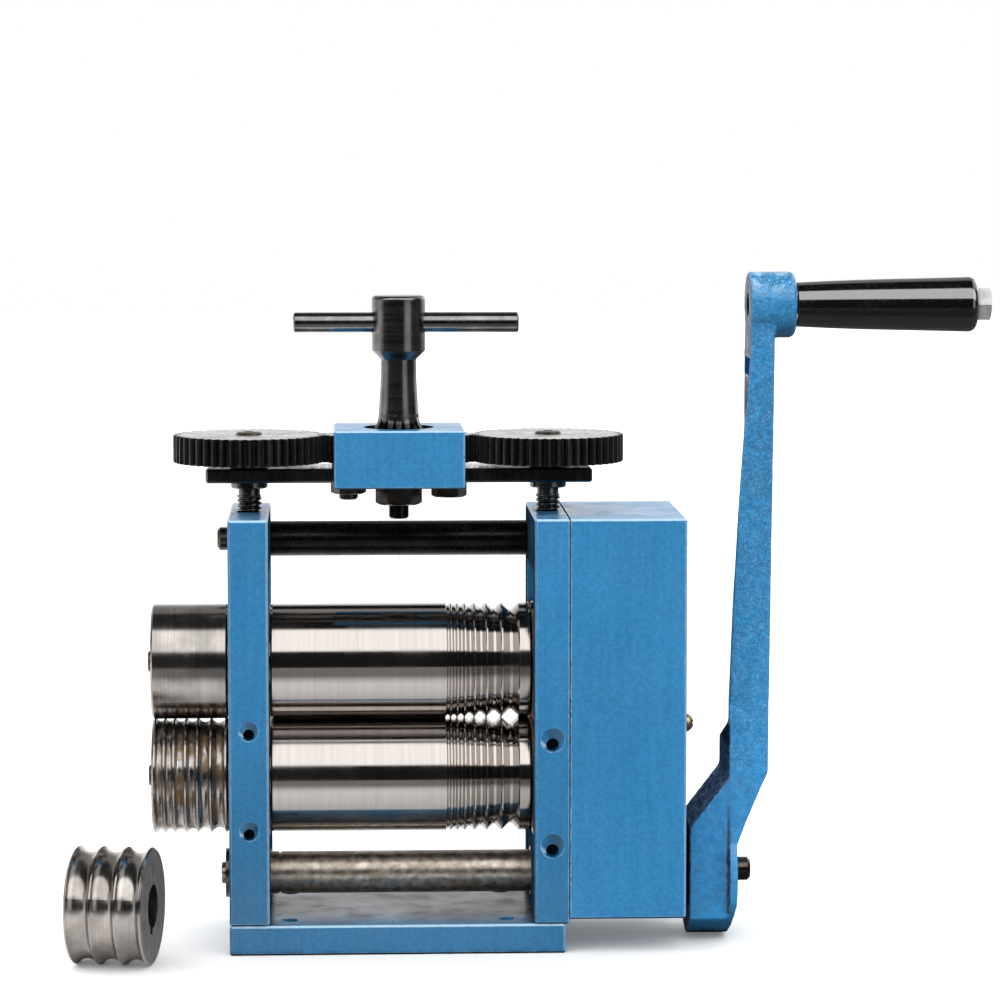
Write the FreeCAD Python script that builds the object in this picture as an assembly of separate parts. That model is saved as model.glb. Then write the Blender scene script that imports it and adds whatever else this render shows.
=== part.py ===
import FreeCAD, Part
import math
import os
from FreeCAD import Matrix, Vector

# Jewellers rolling mill, hand cranked, with wire grooves and two outboard extension rollers.
# Millimetres. +X runs along the rolls towards the crank, +Y to the back, +Z up. The origin lies on the
# underside of the base plate, below the middle of the roll barrels.

# ---------------------------------------------------------------- driving dimensions
# frame
inner_gap = 110.0                 # between the inner faces of the two side frames
left_frame_thickness = 16.6
right_frame_thickness = 14.8
frame_depth = 80.0
frame_head_height = 23.4          # from the window to the frame's top
base_thickness = 12.4
base_setback = 1.8                # base edge stands back from the right frame's outer face
window_headroom = 9.0             # over the pressure pads with the rolls fully open
edge_chamfer = 0.8
# bench bolts
bench_hole_diameter = 7.5
bench_hole_inset_x = 9.65          # less than half of the gap between the frames
bench_hole_inset_front = 12.5
bench_hole_inset_back = 8.5
# frame screws
foot_screw_diameter = 6.0
foot_screw_inset = 15.0           # from the front and back
foot_screw_grip = 16.0
tie_rod_diameter = 15.0
tie_rod_inset = 12.0              # from the back
tie_rod_drop = 14.4               # below the frames' top
tie_screw_diameter = 6.0
tie_screw_grip = 14.0
# tapped holes in the front edges of the frames
left_front_tap_diameter = 4.7
left_front_sink_diameter = 8.1
left_front_hole_z = (50.6, 92.3)
right_front_tap_diameter = 5.4
right_front_sink_diameter = 10.0
right_front_hole_z = (42.9, 87.3)
front_hole_depth = 12.0
# rolls
roll_diameter = 48.4
roll_nip = 0.1                    # gap between the closed rolls
roll_end_clearance = 0.4
journal_diameter = 28.0
journal_overhang = 0.8            # journal past the frame's outer face
roll_opening = 6.0                # how far the top roll lifts
groove_start_x = 19.0
groove_widths = (1.9, 2.2, 2.6, 3.6, 4.6, 5.8, 7.0)
groove_land = 0.5
groove_depth_share = 0.42         # depth of a wire groove over its width
groove_floor_share = 0.16         # flat floor of a wire groove over its width
round_groove_depth_share = 0.36   # depth of an extension roller's groove over its width
# extension rollers
extension_length = 32.0
stub_diameter = 18.0
extension_groove_widths = (3.4, 3.4, 4.2, 4.3, 4.9, 5.6)
extension_groove_land = 0.65
end_washer_diameter = 23.6
end_washer_thickness = 1.5
end_screw_diameter = 5.0
end_screw_head_diameter = 8.7
end_screw_head_height = 1.9
end_screw_length = 14.0
stub_keyway_inset = 3.0           # between the keyway and the journal
# spare roller lying beside the mill
spare_groove_widths = (9.6, 9.6, 9.6)
spare_groove_depth_share = 0.25   # depth of its grooves over their width
spare_out_x = 46.7                # from the left frame's outer face
spare_out_y = 12.0                # from the frames' front
spare_turn_deg = -10.0
spare_roll_deg = 163.0            # keyway from the top over the front towards the bench
# bearings
bearing_width = 50.0
bearing_side_play = 0.2
bearing_half_height = 22.0
pad_diameter = 14.0
pad_height = 4.0
pad_recess = 1.0
spring_diameter = 7.0
spring_wire = 0.9
spring_turns = 6
spring_pocket = 6.0
spring_offset_y = 18.0
# gears
pressure_angle_deg = 25.0
addendum = 1.0
dedendum = 1.25
backlash_share = 0.10             # tooth thinning over the module
flank_steps = 4                   # spans of the curve through each tooth flank
tooth_end_bevel = 0.4
roll_gear_teeth = 12
roll_gear_width = 15.0
drive_module = 1.5
drive_gear_teeth = 44
drive_pinion_teeth = 12
drive_gear_width = 12.0
drive_gear_hub_diameter = 32.0
pinion_overhang = 1.0             # pinion longer than the drive gear at each end
roll_shaft_diameter = 20.0
roll_nut_flats = 27.0
roll_nut_height = 5.0
nut_gear_gap = 1.0                # between the upper roll's tail and the drive gear
roll_thread_step = 1.0            # thread radius under the shaft's
roll_tail_past_nut = 1.0
gear_keyway_inset = 1.0           # between the keyway and the journal
# crank shaft
shaft_height = 15.1               # above the base plate
shaft_diameter = 17.8
shaft_overhang = 1.1              # shaft past the left frame's outer face
shaft_end_diameter = 14.0         # past the pinion, through the cover to the crank
shaft_groove_place = 3.4          # from the left frame's inner face
shaft_groove_width = 1.0
shaft_groove_depth = 0.5
shaft_square = 11.0
bush_wall = 1.3
cover_bush_flange = 1.4
shaft_washer_diameter = 20.8
shaft_washer_thickness = 1.3
shaft_screw_diameter = 5.0
shaft_screw_head_diameter = 9.2
shaft_screw_head_height = 1.9
shaft_screw_length = 14.0
crank_clamp_gap = 0.4             # shaft's end under the hub's face, so that the washer clamps the hub
# gear cover
cover_end_gap = 5.4               # between the lower roll's tail and the cover
cover_wall = 2.0
pinion_floor_gap = 0.8
cover_screw_inset = 7.0           # from the front and back
cover_screw_rise = 26.0           # above the lower roll
cover_screw_diameter = 4.0
cover_screw_head_diameter = 7.6
cover_screw_head_height = 3.4
cover_screw_rim = 0.6             # straight edge under the dome
cover_screw_grip = 12.0
cross_slot_length = 4.0
cross_slot_width = 1.0
cross_slot_depth = 1.6
cover_bush_proud = 0.6
cover_bush_flange_thickness = 3.0
pillar_diameter = 9.0
pillar_stud_diameter = 5.0
pillar_stud_length = 8.0
# crank
crank_radius = 240.5
hub_gap = 3.1                     # between the gear cover and the crank hub
hub_length = 20.1
hub_radius = 27.0
hub_flat_half_width = 20.5        # to the flats on the hub's front and back
hub_foot_bevel = (2.7, 15.0)      # hub's lower outer corner: width and height
hub_taper_rise = 14.9             # where the arm's taper leaves the hub, above the shaft
arm_foot_thickness = 3.6
arm_top_half_width = 11.0
arm_inner_lean = 70.5             # heights above the shaft
arm_outer_bend = 13.5
arm_outer_lean = 44.5
arm_lean = 8.9                    # how far the arm's top stands outboard of its foot
arm_low_thickness = 16.6
arm_top_thickness = 10.6
arm_blend_share = 0.42            # where the outer blend's middle stands between hub and arm
arm_blend_sag = 1.5
arm_inner_bow = 1.0               # how far the arm's inner face bows towards the mill
arm_draft = 0.125                 # inner side's fall to the back, over the width
arm_draft_start = 16.0            # in front of the middle
arm_draft_foot = 61.5             # its lower end above the shaft, at the middle
arm_draft_drop = 0.32             # drop of its lower end to the back, over the width
boss_pad_drop = 4.0               # arm's thin end under the boss
shoulder_foot_rise = 21.1         # sloping shoulder from the hub up to the arm: heights above the shaft
shoulder_top_rise = 42.5
boss_radius = 14.0
boss_length = 20.0
boss_bevel = 1.8
crank_washer_diameter = 18.0
crank_washer_thickness = 1.6
crank_screw_diameter = 6.0
crank_screw_length = 16.0
cap_head_height = 6.0
cap_head_diameter = 10.0
# grip
grip_length = 76.2
grip_small_diameter = 18.7
grip_large_diameter = 23.2
grip_gap = 0.4
grip_edge = 0.6
grip_swell_share = 0.45           # where the swell's middle stands along the grip
grip_swell = 0.5                  # over the straight taper
grip_nose_length = 6.0
grip_nose_drop = 4.4
grip_nose_bulge = (1.6, 1.4)      # nose's middle point from the end and from the large radius
grip_bolt_short = 2.0             # bolt's tip under the boss's inner face
grip_bolt_diameter = 8.0
grip_bolt_head_height = 5.6
hex_small_flats = 13.0
# screw-down gear train on the bridge
screw_gear_teeth = 49
idler_teeth = 18
handle_pinion_teeth = 16
gear_rise = 2.0                   # gears above the bar
gear_thickness = 11.5
bar_rise = 13.0                   # bar above the frames, rolls closed
bar_thickness = 6.0
bar_depth = 28.0
bar_overhang = 17.9
pressure_screw_diameter = 10.4
pressure_screw_pitch = 2.0
thread_depth = 1.0
dog_point_diameter = 7.2
dog_point_length = 3.0
dog_point_shoulder = 0.5
thread_crest_share = 0.3          # of the pitch, as is each flank
screw_neck_diameter = 9.1
screw_neck_length = 2.9
screw_collar_diameter = 15.4
screw_collar_height = 2.9
screw_journal_diameter = 10.0
gear_seat_diameter = 8.0
gear_seat_flat = 0.9
gear_screw_diameter = 5.0
gear_screw_head_diameter = 11.0
gear_screw_head_height = 1.2
gear_screw_length = 12.0
gear_screw_socket = 4.0
gear_screw_socket_depth = 0.9
gear_screw_bevel = (0.5, 1.0)     # height and width
gear_clamp_gap = 0.4              # screw's end under the gear's face
gear_hub_diameter = 16.0
idler_hub_diameter = 14.0
idler_axle_diameter = 8.0
idler_nut_height = 5.5
idler_bolt_head_height = 5.6
idler_flange_height = 1.4
idler_stud_tail = 2.5
idler_flange_rim = 1.0            # past the head's flats
housing_width = 54.4
housing_depth = 48.0
housing_skirt = 1.7               # below the bar
housing_gear_gap = 0.4            # over the gears
housing_top_wall = 2.5
housing_hole_diameter = 26.9
housing_hole_chamfer = 1.0
housing_chamfer = 0.6
housing_side_gap = 0.7            # beside the idlers' teeth
axle_cover = 0.8                  # metal left over the idler axles' ends
# T handle
handle_nut_flats = 17.0
handle_nut_height = 10.0
handle_thread_diameter = 8.4
handle_thread_tail = 6.0
neck_bottom_diameter = 17.0
neck_top_diameter = 14.8
runout_height = 5.5
runout_flare = (4.2, 0.7)         # drop and rise of the run out's middle point
pinion_straight = 1.5             # where the run out starts, under the housing's top
neck_waist = 0.25                 # neck's middle under a straight taper
spindle_shoulder = 1.2            # over the journal's radius
spindle_core_drop = (3.0, 0.6)    # core's shoulder under the run out
neck_height = 28.5                # from the housing's top to the head
head_diameter = 22.4
head_cone = 3.8
head_crown = (1.6, 0.5)           # rounded edge and its middle point
head_height = 26.8
tommy_bar_diameter = 8.6
tommy_bar_length = 94.4
tommy_bar_drop = 11.3             # below the head's top
tommy_bar_offset = 3.2
# screws and nuts
socket_flats_share = 0.8          # of the screw's diameter
socket_depth_share = 0.6          # of the head's height
hexagon_trim_share = 0.6          # trimmed corner height over the corners' reach past the flats
small_bevel = 0.6
tip_bevel = 0.8
tap_past_screw = 2.0              # tapped hole past its screw's tip
# clearances, all on the radius or per side
running_clearance = 0.05
seat_clearance = 0.02
thread_clearance = 0.05
screw_hole_clearance = 0.3
side_play = 0.15
key_width = 4.0
key_depth = 2.5
key_height = 4.9
key_setback = 1.0                 # key's outer end inside its keyway
key_end_gap = 0.2

# ---------------------------------------------------------------- derived places
left_inner_x = -inner_gap / 2
right_inner_x = inner_gap / 2
left_outer_x = left_inner_x - left_frame_thickness
right_outer_x = right_inner_x + right_frame_thickness
left_mid_x = (left_inner_x + left_outer_x) / 2
right_mid_x = (right_inner_x + right_outer_x) / 2
front_y = -frame_depth / 2
bench_hole_spacing_x = inner_gap - 2 * bench_hole_inset_x
bench_hole_ys = (front_y + bench_hole_inset_front, -front_y - bench_hole_inset_back)
foot_screw_y = frame_depth / 2 - foot_screw_inset
cover_screw_y = frame_depth / 2 - cover_screw_inset
tie_rod_y = frame_depth / 2 - tie_rod_inset
base_right_x = right_outer_x - base_setback
base_mid_x = (left_outer_x + base_right_x) / 2

shaft_z = base_thickness + shaft_height
lower_roll_z = shaft_z + drive_module * (drive_gear_teeth + drive_pinion_teeth) / 2
roll_centres = roll_diameter + roll_nip
upper_roll_z = lower_roll_z + roll_centres
window_bottom_z = lower_roll_z - bearing_half_height
pad_top_z = upper_roll_z + bearing_half_height + pad_height - pad_recess
window_top_z = pad_top_z + roll_opening + window_headroom
window_width = bearing_width + 2 * bearing_side_play
frame_top_z = window_top_z + frame_head_height
tie_rod_z = frame_top_z - tie_rod_drop
journal_left_x = left_outer_x - journal_overhang
journal_right_x = right_outer_x + journal_overhang
barrel_half_length = inner_gap / 2 - roll_end_clearance
extension_end_x = journal_left_x - extension_length
stub_end_x = extension_end_x + end_washer_thickness + side_play

roll_gear_module = roll_centres / roll_gear_teeth
# the drive gear's hub carries it clear of the upper roll's nut
drive_gear_hub = roll_nut_height + roll_tail_past_nut + nut_gear_gap
drive_gear_x = journal_right_x + roll_gear_width + drive_gear_hub
pinion_tip_radius = drive_module * (drive_pinion_teeth / 2 + addendum)
cover_bottom_z = shaft_z - pinion_tip_radius - pinion_floor_gap - cover_wall
lower_stack = roll_gear_width + drive_gear_hub + drive_gear_width
lower_tail_x = journal_right_x + lower_stack + roll_nut_height + roll_tail_past_nut
cover_inner_x = lower_tail_x + cover_end_gap
cover_right_x = cover_inner_x + cover_wall
cover_screw_z = lower_roll_z + cover_screw_rise
shaft_left_x = left_outer_x - shaft_overhang
hub_inner_x = cover_right_x + hub_gap
hub_outer_x = hub_inner_x + hub_length
arm_foot_x = hub_outer_x - arm_foot_thickness
arm_hub_half_width = math.sqrt(hub_radius ** 2 - hub_taper_rise ** 2)
grip_z = shaft_z + crank_radius
boss_inner_x = arm_foot_x + arm_lean
boss_pad_z = grip_z - boss_radius - boss_pad_drop
boss_outer_x = boss_inner_x + boss_length
grip_left_x = boss_outer_x + grip_gap
grip_right_x = grip_left_x + grip_length

bar_bottom_z = frame_top_z + bar_rise
bar_top_z = bar_bottom_z + bar_thickness
gear_bottom_z = bar_top_z + gear_rise
gear_top_z = gear_bottom_z + gear_thickness
handle_x = (left_mid_x + right_mid_x) / 2
screw_reach = (right_mid_x - left_mid_x) / 2
train_teeth = handle_pinion_teeth + 2 * idler_teeth + screw_gear_teeth
train_module = 2 * screw_reach / train_teeth
idler_reach = train_module * (handle_pinion_teeth + idler_teeth) / 2
screw_tip_z = pad_top_z + seat_clearance
hub_bottom_z = bar_top_z + side_play
housing_ceiling_z = gear_top_z + housing_gear_gap
housing_top_z = housing_ceiling_z + housing_top_wall
axle_top_z = housing_top_z - axle_cover
neck_top_z = housing_top_z + neck_height
head_top_z = neck_top_z + head_height
tommy_bar_z = head_top_z - tommy_bar_drop

past = 1.0                        # how far a cutting solid runs past the face that it opens
X_AXIS = Vector(1, 0, 0)
Y_AXIS = Vector(0, 1, 0)
Z_AXIS = Vector(0, 0, 1)
# turns a shape drawn in the XY plane so that its X, Y and Z run along Y, Z and X
TO_ROLL_AXIS = Matrix(0, 0, 1, 0, 1, 0, 0, 0, 0, 1, 0, 0, 0, 0, 0, 1)


# ---------------------------------------------------------------- building blocks
def block(x0, x1, y0, y1, z0, z1):
    """Box between two corners."""
    return Part.makeBox(x1 - x0, y1 - y0, z1 - z0, Vector(x0, y0, z0))


def rod_x(x0, x1, radius, y=0.0, z=0.0):
    """Cylinder along X."""
    return Part.makeCylinder(radius, x1 - x0, Vector(x0, y, z), X_AXIS)


def rod_y(y0, y1, radius, x=0.0, z=0.0):
    """Cylinder along Y."""
    return Part.makeCylinder(radius, y1 - y0, Vector(x, y0, z), Y_AXIS)


def rod_z(z0, z1, radius, x=0.0, y=0.0):
    """Cylinder along Z."""
    return Part.makeCylinder(radius, z1 - z0, Vector(x, y, z0), Z_AXIS)


def hexagon_face(across_flats, centre, u_axis, v_axis):
    """Hexagonal face with a corner along u_axis."""
    corner = across_flats / math.sqrt(3)
    points = []
    for i in range(7):
        turn = math.radians(60 * i)
        points.append(centre + u_axis * (corner * math.cos(turn)) + v_axis * (corner * math.sin(turn)))
    return Part.Face(Part.makePolygon(points))


def hexagon_x(x0, x1, across_flats, y, z):
    """Hexagonal prism along X, corners trimmed on the outer side as on a nut."""
    prism = hexagon_face(across_flats, Vector(x0, y, z), Y_AXIS, Z_AXIS).extrude(X_AXIS * (x1 - x0))
    corner = across_flats / math.sqrt(3)
    trim = (corner - across_flats / 2) * hexagon_trim_share
    blank = turned_x([(x0, 0), (x0, corner), (x1 - trim, corner), (x1, corner - 2 * trim), (x1, 0)], y, z)
    return prism.common(blank)


def hexagon_z(z0, z1, across_flats, x, y):
    """Hexagonal prism along Z with the corners of its lower side trimmed."""
    prism = hexagon_face(across_flats, Vector(x, y, z0), X_AXIS, Y_AXIS).extrude(Z_AXIS * (z1 - z0))
    corner = across_flats / math.sqrt(3)
    trim = (corner - across_flats / 2) * hexagon_trim_share
    blank = turned_z([(z0, 0), (z0, corner - 2 * trim), (z0 + trim, corner), (z1, corner), (z1, 0)], x, y)
    return prism.common(blank)


def outline_edges(points, place):
    """Edges through the points; a step written ((mid), (end)) is an arc through mid."""
    edges = []
    here = place(points[0])
    for step in list(points[1:]) + [points[0]]:
        if isinstance(step[0], tuple):
            there = place(step[1])
            edges.append(Part.Arc(here, place(step[0]), there).toShape())
        else:
            there = place(step)
            if here.distanceToPoint(there) < 1e-6:
                continue
            edges.append(Part.LineSegment(here, there).toShape())
        here = there
    return edges


def turned_x(profile, y=0.0, z=0.0):
    """Solid of revolution about an axis along X, from (x, radius) points that start and end on the axis."""
    edges = outline_edges(profile, lambda p: Vector(p[0], y + p[1], z))
    return Part.Face(Part.Wire(edges)).revolve(Vector(0, y, z), X_AXIS, 360)


def turned_z(profile, x=0.0, y=0.0):
    """Solid of revolution about an axis along Z, from (z, radius) points that start and end on the axis."""
    edges = outline_edges(profile, lambda p: Vector(x + p[1], y, p[0]))
    return Part.Face(Part.Wire(edges)).revolve(Vector(x, y, 0), Z_AXIS, 360)


def chamfer_box(shape, size):
    """Breaks every straight outer edge of a freshly made box."""
    return shape.makeChamfer(size, shape.Edges)


def cap_screw_x(head_x, direction, head_diameter, head_height, diameter, length, y, z):
    """Socket head screw along X. The head's seat is at head_x and the shank points along direction."""
    head_end = head_x - direction * head_height
    shank_end = head_x + direction * length
    head_r = head_diameter / 2
    shank_r = diameter / 2
    bevel = head_height / 5
    tip = diameter / 10
    screw = turned_x([(head_end, 0), (head_end, head_r - bevel), (head_end + direction * bevel, head_r),
                      (head_x, head_r), (head_x, shank_r), (shank_end - direction * tip, shank_r),
                      (shank_end, shank_r - tip), (shank_end, 0)], y, z)
    socket = hexagon_face(diameter * socket_flats_share, Vector(head_end, y, z), Y_AXIS, Z_AXIS)
    return screw.cut(socket.extrude(X_AXIS * (direction * head_height * socket_depth_share)))


def dome(rim_x, rim_radius, top_x):
    """Step of a profile that closes it with a spherical cap between a rim and a top on the axis."""
    height = top_x - rim_x
    sphere_r = (rim_radius ** 2 + height ** 2) / (2 * height)
    half_turn = math.asin(rim_radius / sphere_r) / 2
    middle = (top_x - sphere_r + sphere_r * math.cos(half_turn), sphere_r * math.sin(half_turn))
    return middle, (top_x, 0)


# ---------------------------------------------------------------- gears
def involute(angle):
    """Involute function of an angle in radians."""
    return math.tan(angle) - angle


def gear_face(teeth, module, first_tooth_deg):
    """Face of an involute spur gear in the XY plane, with a tooth centred at first_tooth_deg."""
    angle = math.radians(pressure_angle_deg)
    pitch_r = teeth * module / 2
    base_r = pitch_r * math.cos(angle)
    tip_r = pitch_r + addendum * module
    root_r = pitch_r - dedendum * module
    start_r = max(base_r, root_r)
    thickness = module * (math.pi / 2 - backlash_share)
    half_at_base = thickness / (2 * pitch_r) + involute(angle)

    def half_tooth(radius):
        return half_at_base - involute(math.acos(min(1.0, base_r / radius)))

    def at(radius, turn):
        return Vector(radius * math.cos(turn), radius * math.sin(turn), 0)

    radii = [start_r + (tip_r - start_r) * i / flank_steps for i in range(flank_steps + 1)]
    pitch_turn = 2 * math.pi / teeth
    edges = []
    for i in range(teeth):
        middle = math.radians(first_tooth_deg) + i * pitch_turn
        rising = [at(r, middle - half_tooth(r)) for r in radii]
        falling = [at(r, middle + half_tooth(r)) for r in reversed(radii)]
        foot = half_tooth(start_r)
        root_in = at(root_r, middle - foot)
        root_out = at(root_r, middle + foot)
        next_root = at(root_r, middle + pitch_turn - foot)
        if start_r > root_r:
            edges.append(Part.LineSegment(root_in, rising[0]).toShape())
        edges.append(spline_edge(rising))
        edges.append(Part.Arc(rising[-1], at(tip_r, middle), falling[0]).toShape())
        edges.append(spline_edge(falling))
        if start_r > root_r:
            edges.append(Part.LineSegment(falling[-1], root_out).toShape())
        edges.append(Part.Arc(root_out, at(root_r, middle + pitch_turn / 2), next_root).toShape())
    return Part.Face(Part.Wire(edges))


def spline_edge(points):
    """Smooth edge through the points."""
    curve = Part.BSplineCurve()
    curve.interpolate(points)
    return curve.toShape()


def tip_radius(teeth, module):
    """Outer radius of a gear."""
    return module * (teeth / 2 + addendum)


def gear_z(teeth, module, first_tooth_deg, z0, z1, x):
    """Spur gear about a vertical axis, with the tips of its teeth bevelled."""
    body = gear_face(teeth, module, first_tooth_deg).extrude(Z_AXIS * (z1 - z0))
    body.translate(Vector(x, 0, z0))
    outer = tip_radius(teeth, module) + seat_clearance
    bevel = tooth_end_bevel
    blank = turned_z([(z0, 0), (z0, outer - bevel), (z0 + bevel, outer), (z1 - bevel, outer),
                      (z1, outer - bevel), (z1, 0)], x)
    return body.common(blank)


def gear_x(teeth, module, first_tooth_deg, x0, x1, z):
    """Spur gear about an axis along X; tooth angles count from +Y towards +Z."""
    face = gear_face(teeth, module, first_tooth_deg).transformGeometry(TO_ROLL_AXIS)
    body = face.extrude(X_AXIS * (x1 - x0))
    body.translate(Vector(x0, 0, z))
    outer = tip_radius(teeth, module) + seat_clearance
    bevel = tooth_end_bevel
    blank = turned_x([(x0, 0), (x0, outer - bevel), (x0 + bevel, outer), (x1 - bevel, outer),
                      (x1, outer - bevel), (x1, 0)], 0, z)
    return body.common(blank)


def key_x(x0, x1, radius, z):
    """Parallel key on top of a shaft of that radius."""
    bottom = z + radius - key_depth
    return block(x0, x1, -key_width / 2, key_width / 2, bottom, bottom + key_height)


def keyway_x(x0, x1, radius, z):
    """Space that the key takes in shaft and hub."""
    bottom = z + radius - key_depth
    half = key_width / 2 + seat_clearance
    return block(x0, x1, -half, half, bottom - seat_clearance, bottom + key_height + seat_clearance)


# ---------------------------------------------------------------- frame
def base_plate():
    """Flat plate with four bench holes and counterbored holes for the frame screws."""
    plate = chamfer_box(block(left_outer_x, base_right_x, front_y, -front_y, 0, base_thickness), edge_chamfer)
    for sx in (-1, 1):
        for y in bench_hole_ys:
            x = base_mid_x + sx * bench_hole_spacing_x / 2
            plate = plate.cut(rod_z(-past, base_thickness + past, bench_hole_diameter / 2, x, y))
    head_depth = cap_head_height + screw_hole_clearance
    for x in (left_mid_x, right_mid_x):
        for y in (-foot_screw_y, foot_screw_y):
            hole_r = foot_screw_diameter / 2 + screw_hole_clearance
            plate = plate.cut(rod_z(-past, base_thickness + past, hole_r, x, y))
            plate = plate.cut(rod_z(-past, head_depth, cap_head_diameter / 2 + screw_hole_clearance, x, y))
    return plate


def front_hole(x, z, tap_diameter, sink_diameter):
    """Tapped hole in the front edge of a frame; its sink stands above it and meets it at the bottom."""
    tap_r = tap_diameter / 2
    sink_r = sink_diameter / 2
    sink_depth = sink_r - tap_r
    mouth = Part.Circle(Vector(x, front_y, z + sink_depth), Y_AXIS, sink_r)
    foot = Part.Circle(Vector(x, front_y + sink_depth, z), Y_AXIS, tap_r)
    sink = Part.makeLoft([Part.Wire(mouth.toShape()), Part.Wire(foot.toShape())], True, True)
    lead = rod_y(front_y - past, front_y, sink_r, x, z + sink_depth)
    return rod_y(front_y - past, front_y + front_hole_depth, tap_r, x, z).fuse([sink, lead])


def side_frame(inner_x, outer_x, mid_x, front_holes, tap_diameter, sink_diameter):
    """Upright plate with the bearing window, the screw nut thread, the bush bore and its screw holes."""
    x0, x1 = min(inner_x, outer_x), max(inner_x, outer_x)
    plate = chamfer_box(block(x0, x1, front_y, -front_y, base_thickness, frame_top_z), edge_chamfer)
    low, high = x0 - past, x1 + past
    cuts = [block(low, high, -window_width / 2, window_width / 2, window_bottom_z, window_top_z)]
    cuts.append(rod_z(window_top_z - past, frame_top_z + past,
                      pressure_screw_diameter / 2 + running_clearance, mid_x))
    cuts.append(rod_x(low, high, shaft_diameter / 2 + bush_wall, 0, shaft_z))
    cuts.append(rod_x(low, high, tie_screw_diameter / 2 + screw_hole_clearance, tie_rod_y, tie_rod_z))
    for y in (-foot_screw_y, foot_screw_y):
        cuts.append(rod_z(base_thickness - past, base_thickness + foot_screw_grip + tap_past_screw,
                          foot_screw_diameter / 2 + thread_clearance, mid_x, y))
    for z in front_holes:
        cuts.append(front_hole(mid_x, z, tap_diameter, sink_diameter))
    return plate.cut(cuts)


def left_side_frame():
    """Frame on the side of the extension rollers."""
    return side_frame(left_inner_x, left_outer_x, left_mid_x, left_front_hole_z,
                      left_front_tap_diameter, left_front_sink_diameter)


def right_side_frame():
    """Frame on the gear side, tapped for the two cover pillars."""
    frame = side_frame(right_inner_x, right_outer_x, right_mid_x, right_front_hole_z,
                       right_front_tap_diameter, right_front_sink_diameter)
    for y in (-cover_screw_y, cover_screw_y):
        frame = frame.cut(rod_x(right_outer_x - pillar_stud_length - tap_past_screw, right_outer_x + past,
                                pillar_stud_diameter / 2 + thread_clearance, y, cover_screw_z))
    return frame


def upper_tie_rod():
    """Round spacer bar between the frames, tapped at both ends."""
    rod = rod_x(left_inner_x, right_inner_x, tie_rod_diameter / 2, tie_rod_y, tie_rod_z)
    hole_r = tie_screw_diameter / 2 + thread_clearance
    depth = tie_screw_grip + tap_past_screw
    for x0 in (left_inner_x, right_inner_x - depth):
        rod = rod.cut(rod_x(x0, x0 + depth, hole_r, tie_rod_y, tie_rod_z))
    return rod


def tie_rod_screws():
    """Socket head screws through the frames into the tie rod."""
    left = cap_screw_x(left_outer_x, 1, cap_head_diameter, cap_head_height, tie_screw_diameter,
                       left_frame_thickness + tie_screw_grip, tie_rod_y, tie_rod_z)
    right = cap_screw_x(right_outer_x, -1, cap_head_diameter, cap_head_height, tie_screw_diameter,
                        right_frame_thickness + tie_screw_grip, tie_rod_y, tie_rod_z)
    return [left, right]


def frame_foot_screws():
    """Four socket head screws up through the base plate into the frames."""
    screws = []
    seat_z = cap_head_height + screw_hole_clearance
    head_r = cap_head_diameter / 2
    shank_r = foot_screw_diameter / 2
    tip_z = base_thickness + foot_screw_grip
    for x in (left_mid_x, right_mid_x):
        for y in (-foot_screw_y, foot_screw_y):
            screw = turned_z([(screw_hole_clearance, 0), (screw_hole_clearance, head_r), (seat_z, head_r),
                              (seat_z, shank_r), (tip_z, shank_r), (tip_z, 0)], x, y)
            centre = Vector(x, y, screw_hole_clearance)
            socket = hexagon_face(foot_screw_diameter * socket_flats_share, centre, X_AXIS, Y_AXIS)
            screws.append(screw.cut(socket.extrude(Z_AXIS * (cap_head_height * socket_depth_share))))
    return screws


# ---------------------------------------------------------------- bearings
def bearing(inner_x, outer_x, roll_z):
    """Bronze bearing block that fills the window around a roll journal."""
    x0, x1 = min(inner_x, outer_x), max(inner_x, outer_x)
    body = block(x0, x1, -bearing_width / 2, bearing_width / 2,
                 roll_z - bearing_half_height, roll_z + bearing_half_height)
    body = body.makeChamfer(edge_chamfer, [e for e in body.Edges if abs(e.tangentAt(0).x) > 0.9])
    return body.cut(rod_x(x0 - past, x1 + past, journal_diameter / 2 + running_clearance, 0, roll_z))


def spring_pockets(mid_x, mouth_z, floor_z):
    """Two blind holes that hold the ends of the lift springs."""
    z0, z1 = min(mouth_z, floor_z), max(mouth_z, floor_z)
    radius = spring_diameter / 2 + spring_wire / 2 + screw_hole_clearance
    return [rod_z(z0, z1, radius, mid_x, y) for y in (-spring_offset_y, spring_offset_y)]


def lower_bearing(inner_x, outer_x, mid_x):
    """Fixed block on the floor of the window."""
    top = lower_roll_z + bearing_half_height
    return bearing(inner_x, outer_x, lower_roll_z).cut(spring_pockets(mid_x, top + past, top - spring_pocket))


def upper_bearing(inner_x, outer_x, mid_x):
    """Sliding block, with a recess for the pressure pad on top."""
    bottom = upper_roll_z - bearing_half_height
    top = upper_roll_z + bearing_half_height
    recess = rod_z(top - pad_recess, top + past, pad_diameter / 2 + seat_clearance, mid_x)
    return bearing(inner_x, outer_x, upper_roll_z).cut(
        spring_pockets(mid_x, bottom - past, bottom + spring_pocket) + [recess])


def pressure_pads():
    """Hardened discs that take the thrust of the screws."""
    z0 = upper_roll_z + bearing_half_height - pad_recess
    return [rod_z(z0, z0 + pad_height, pad_diameter / 2, x) for x in (left_mid_x, right_mid_x)]


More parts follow.
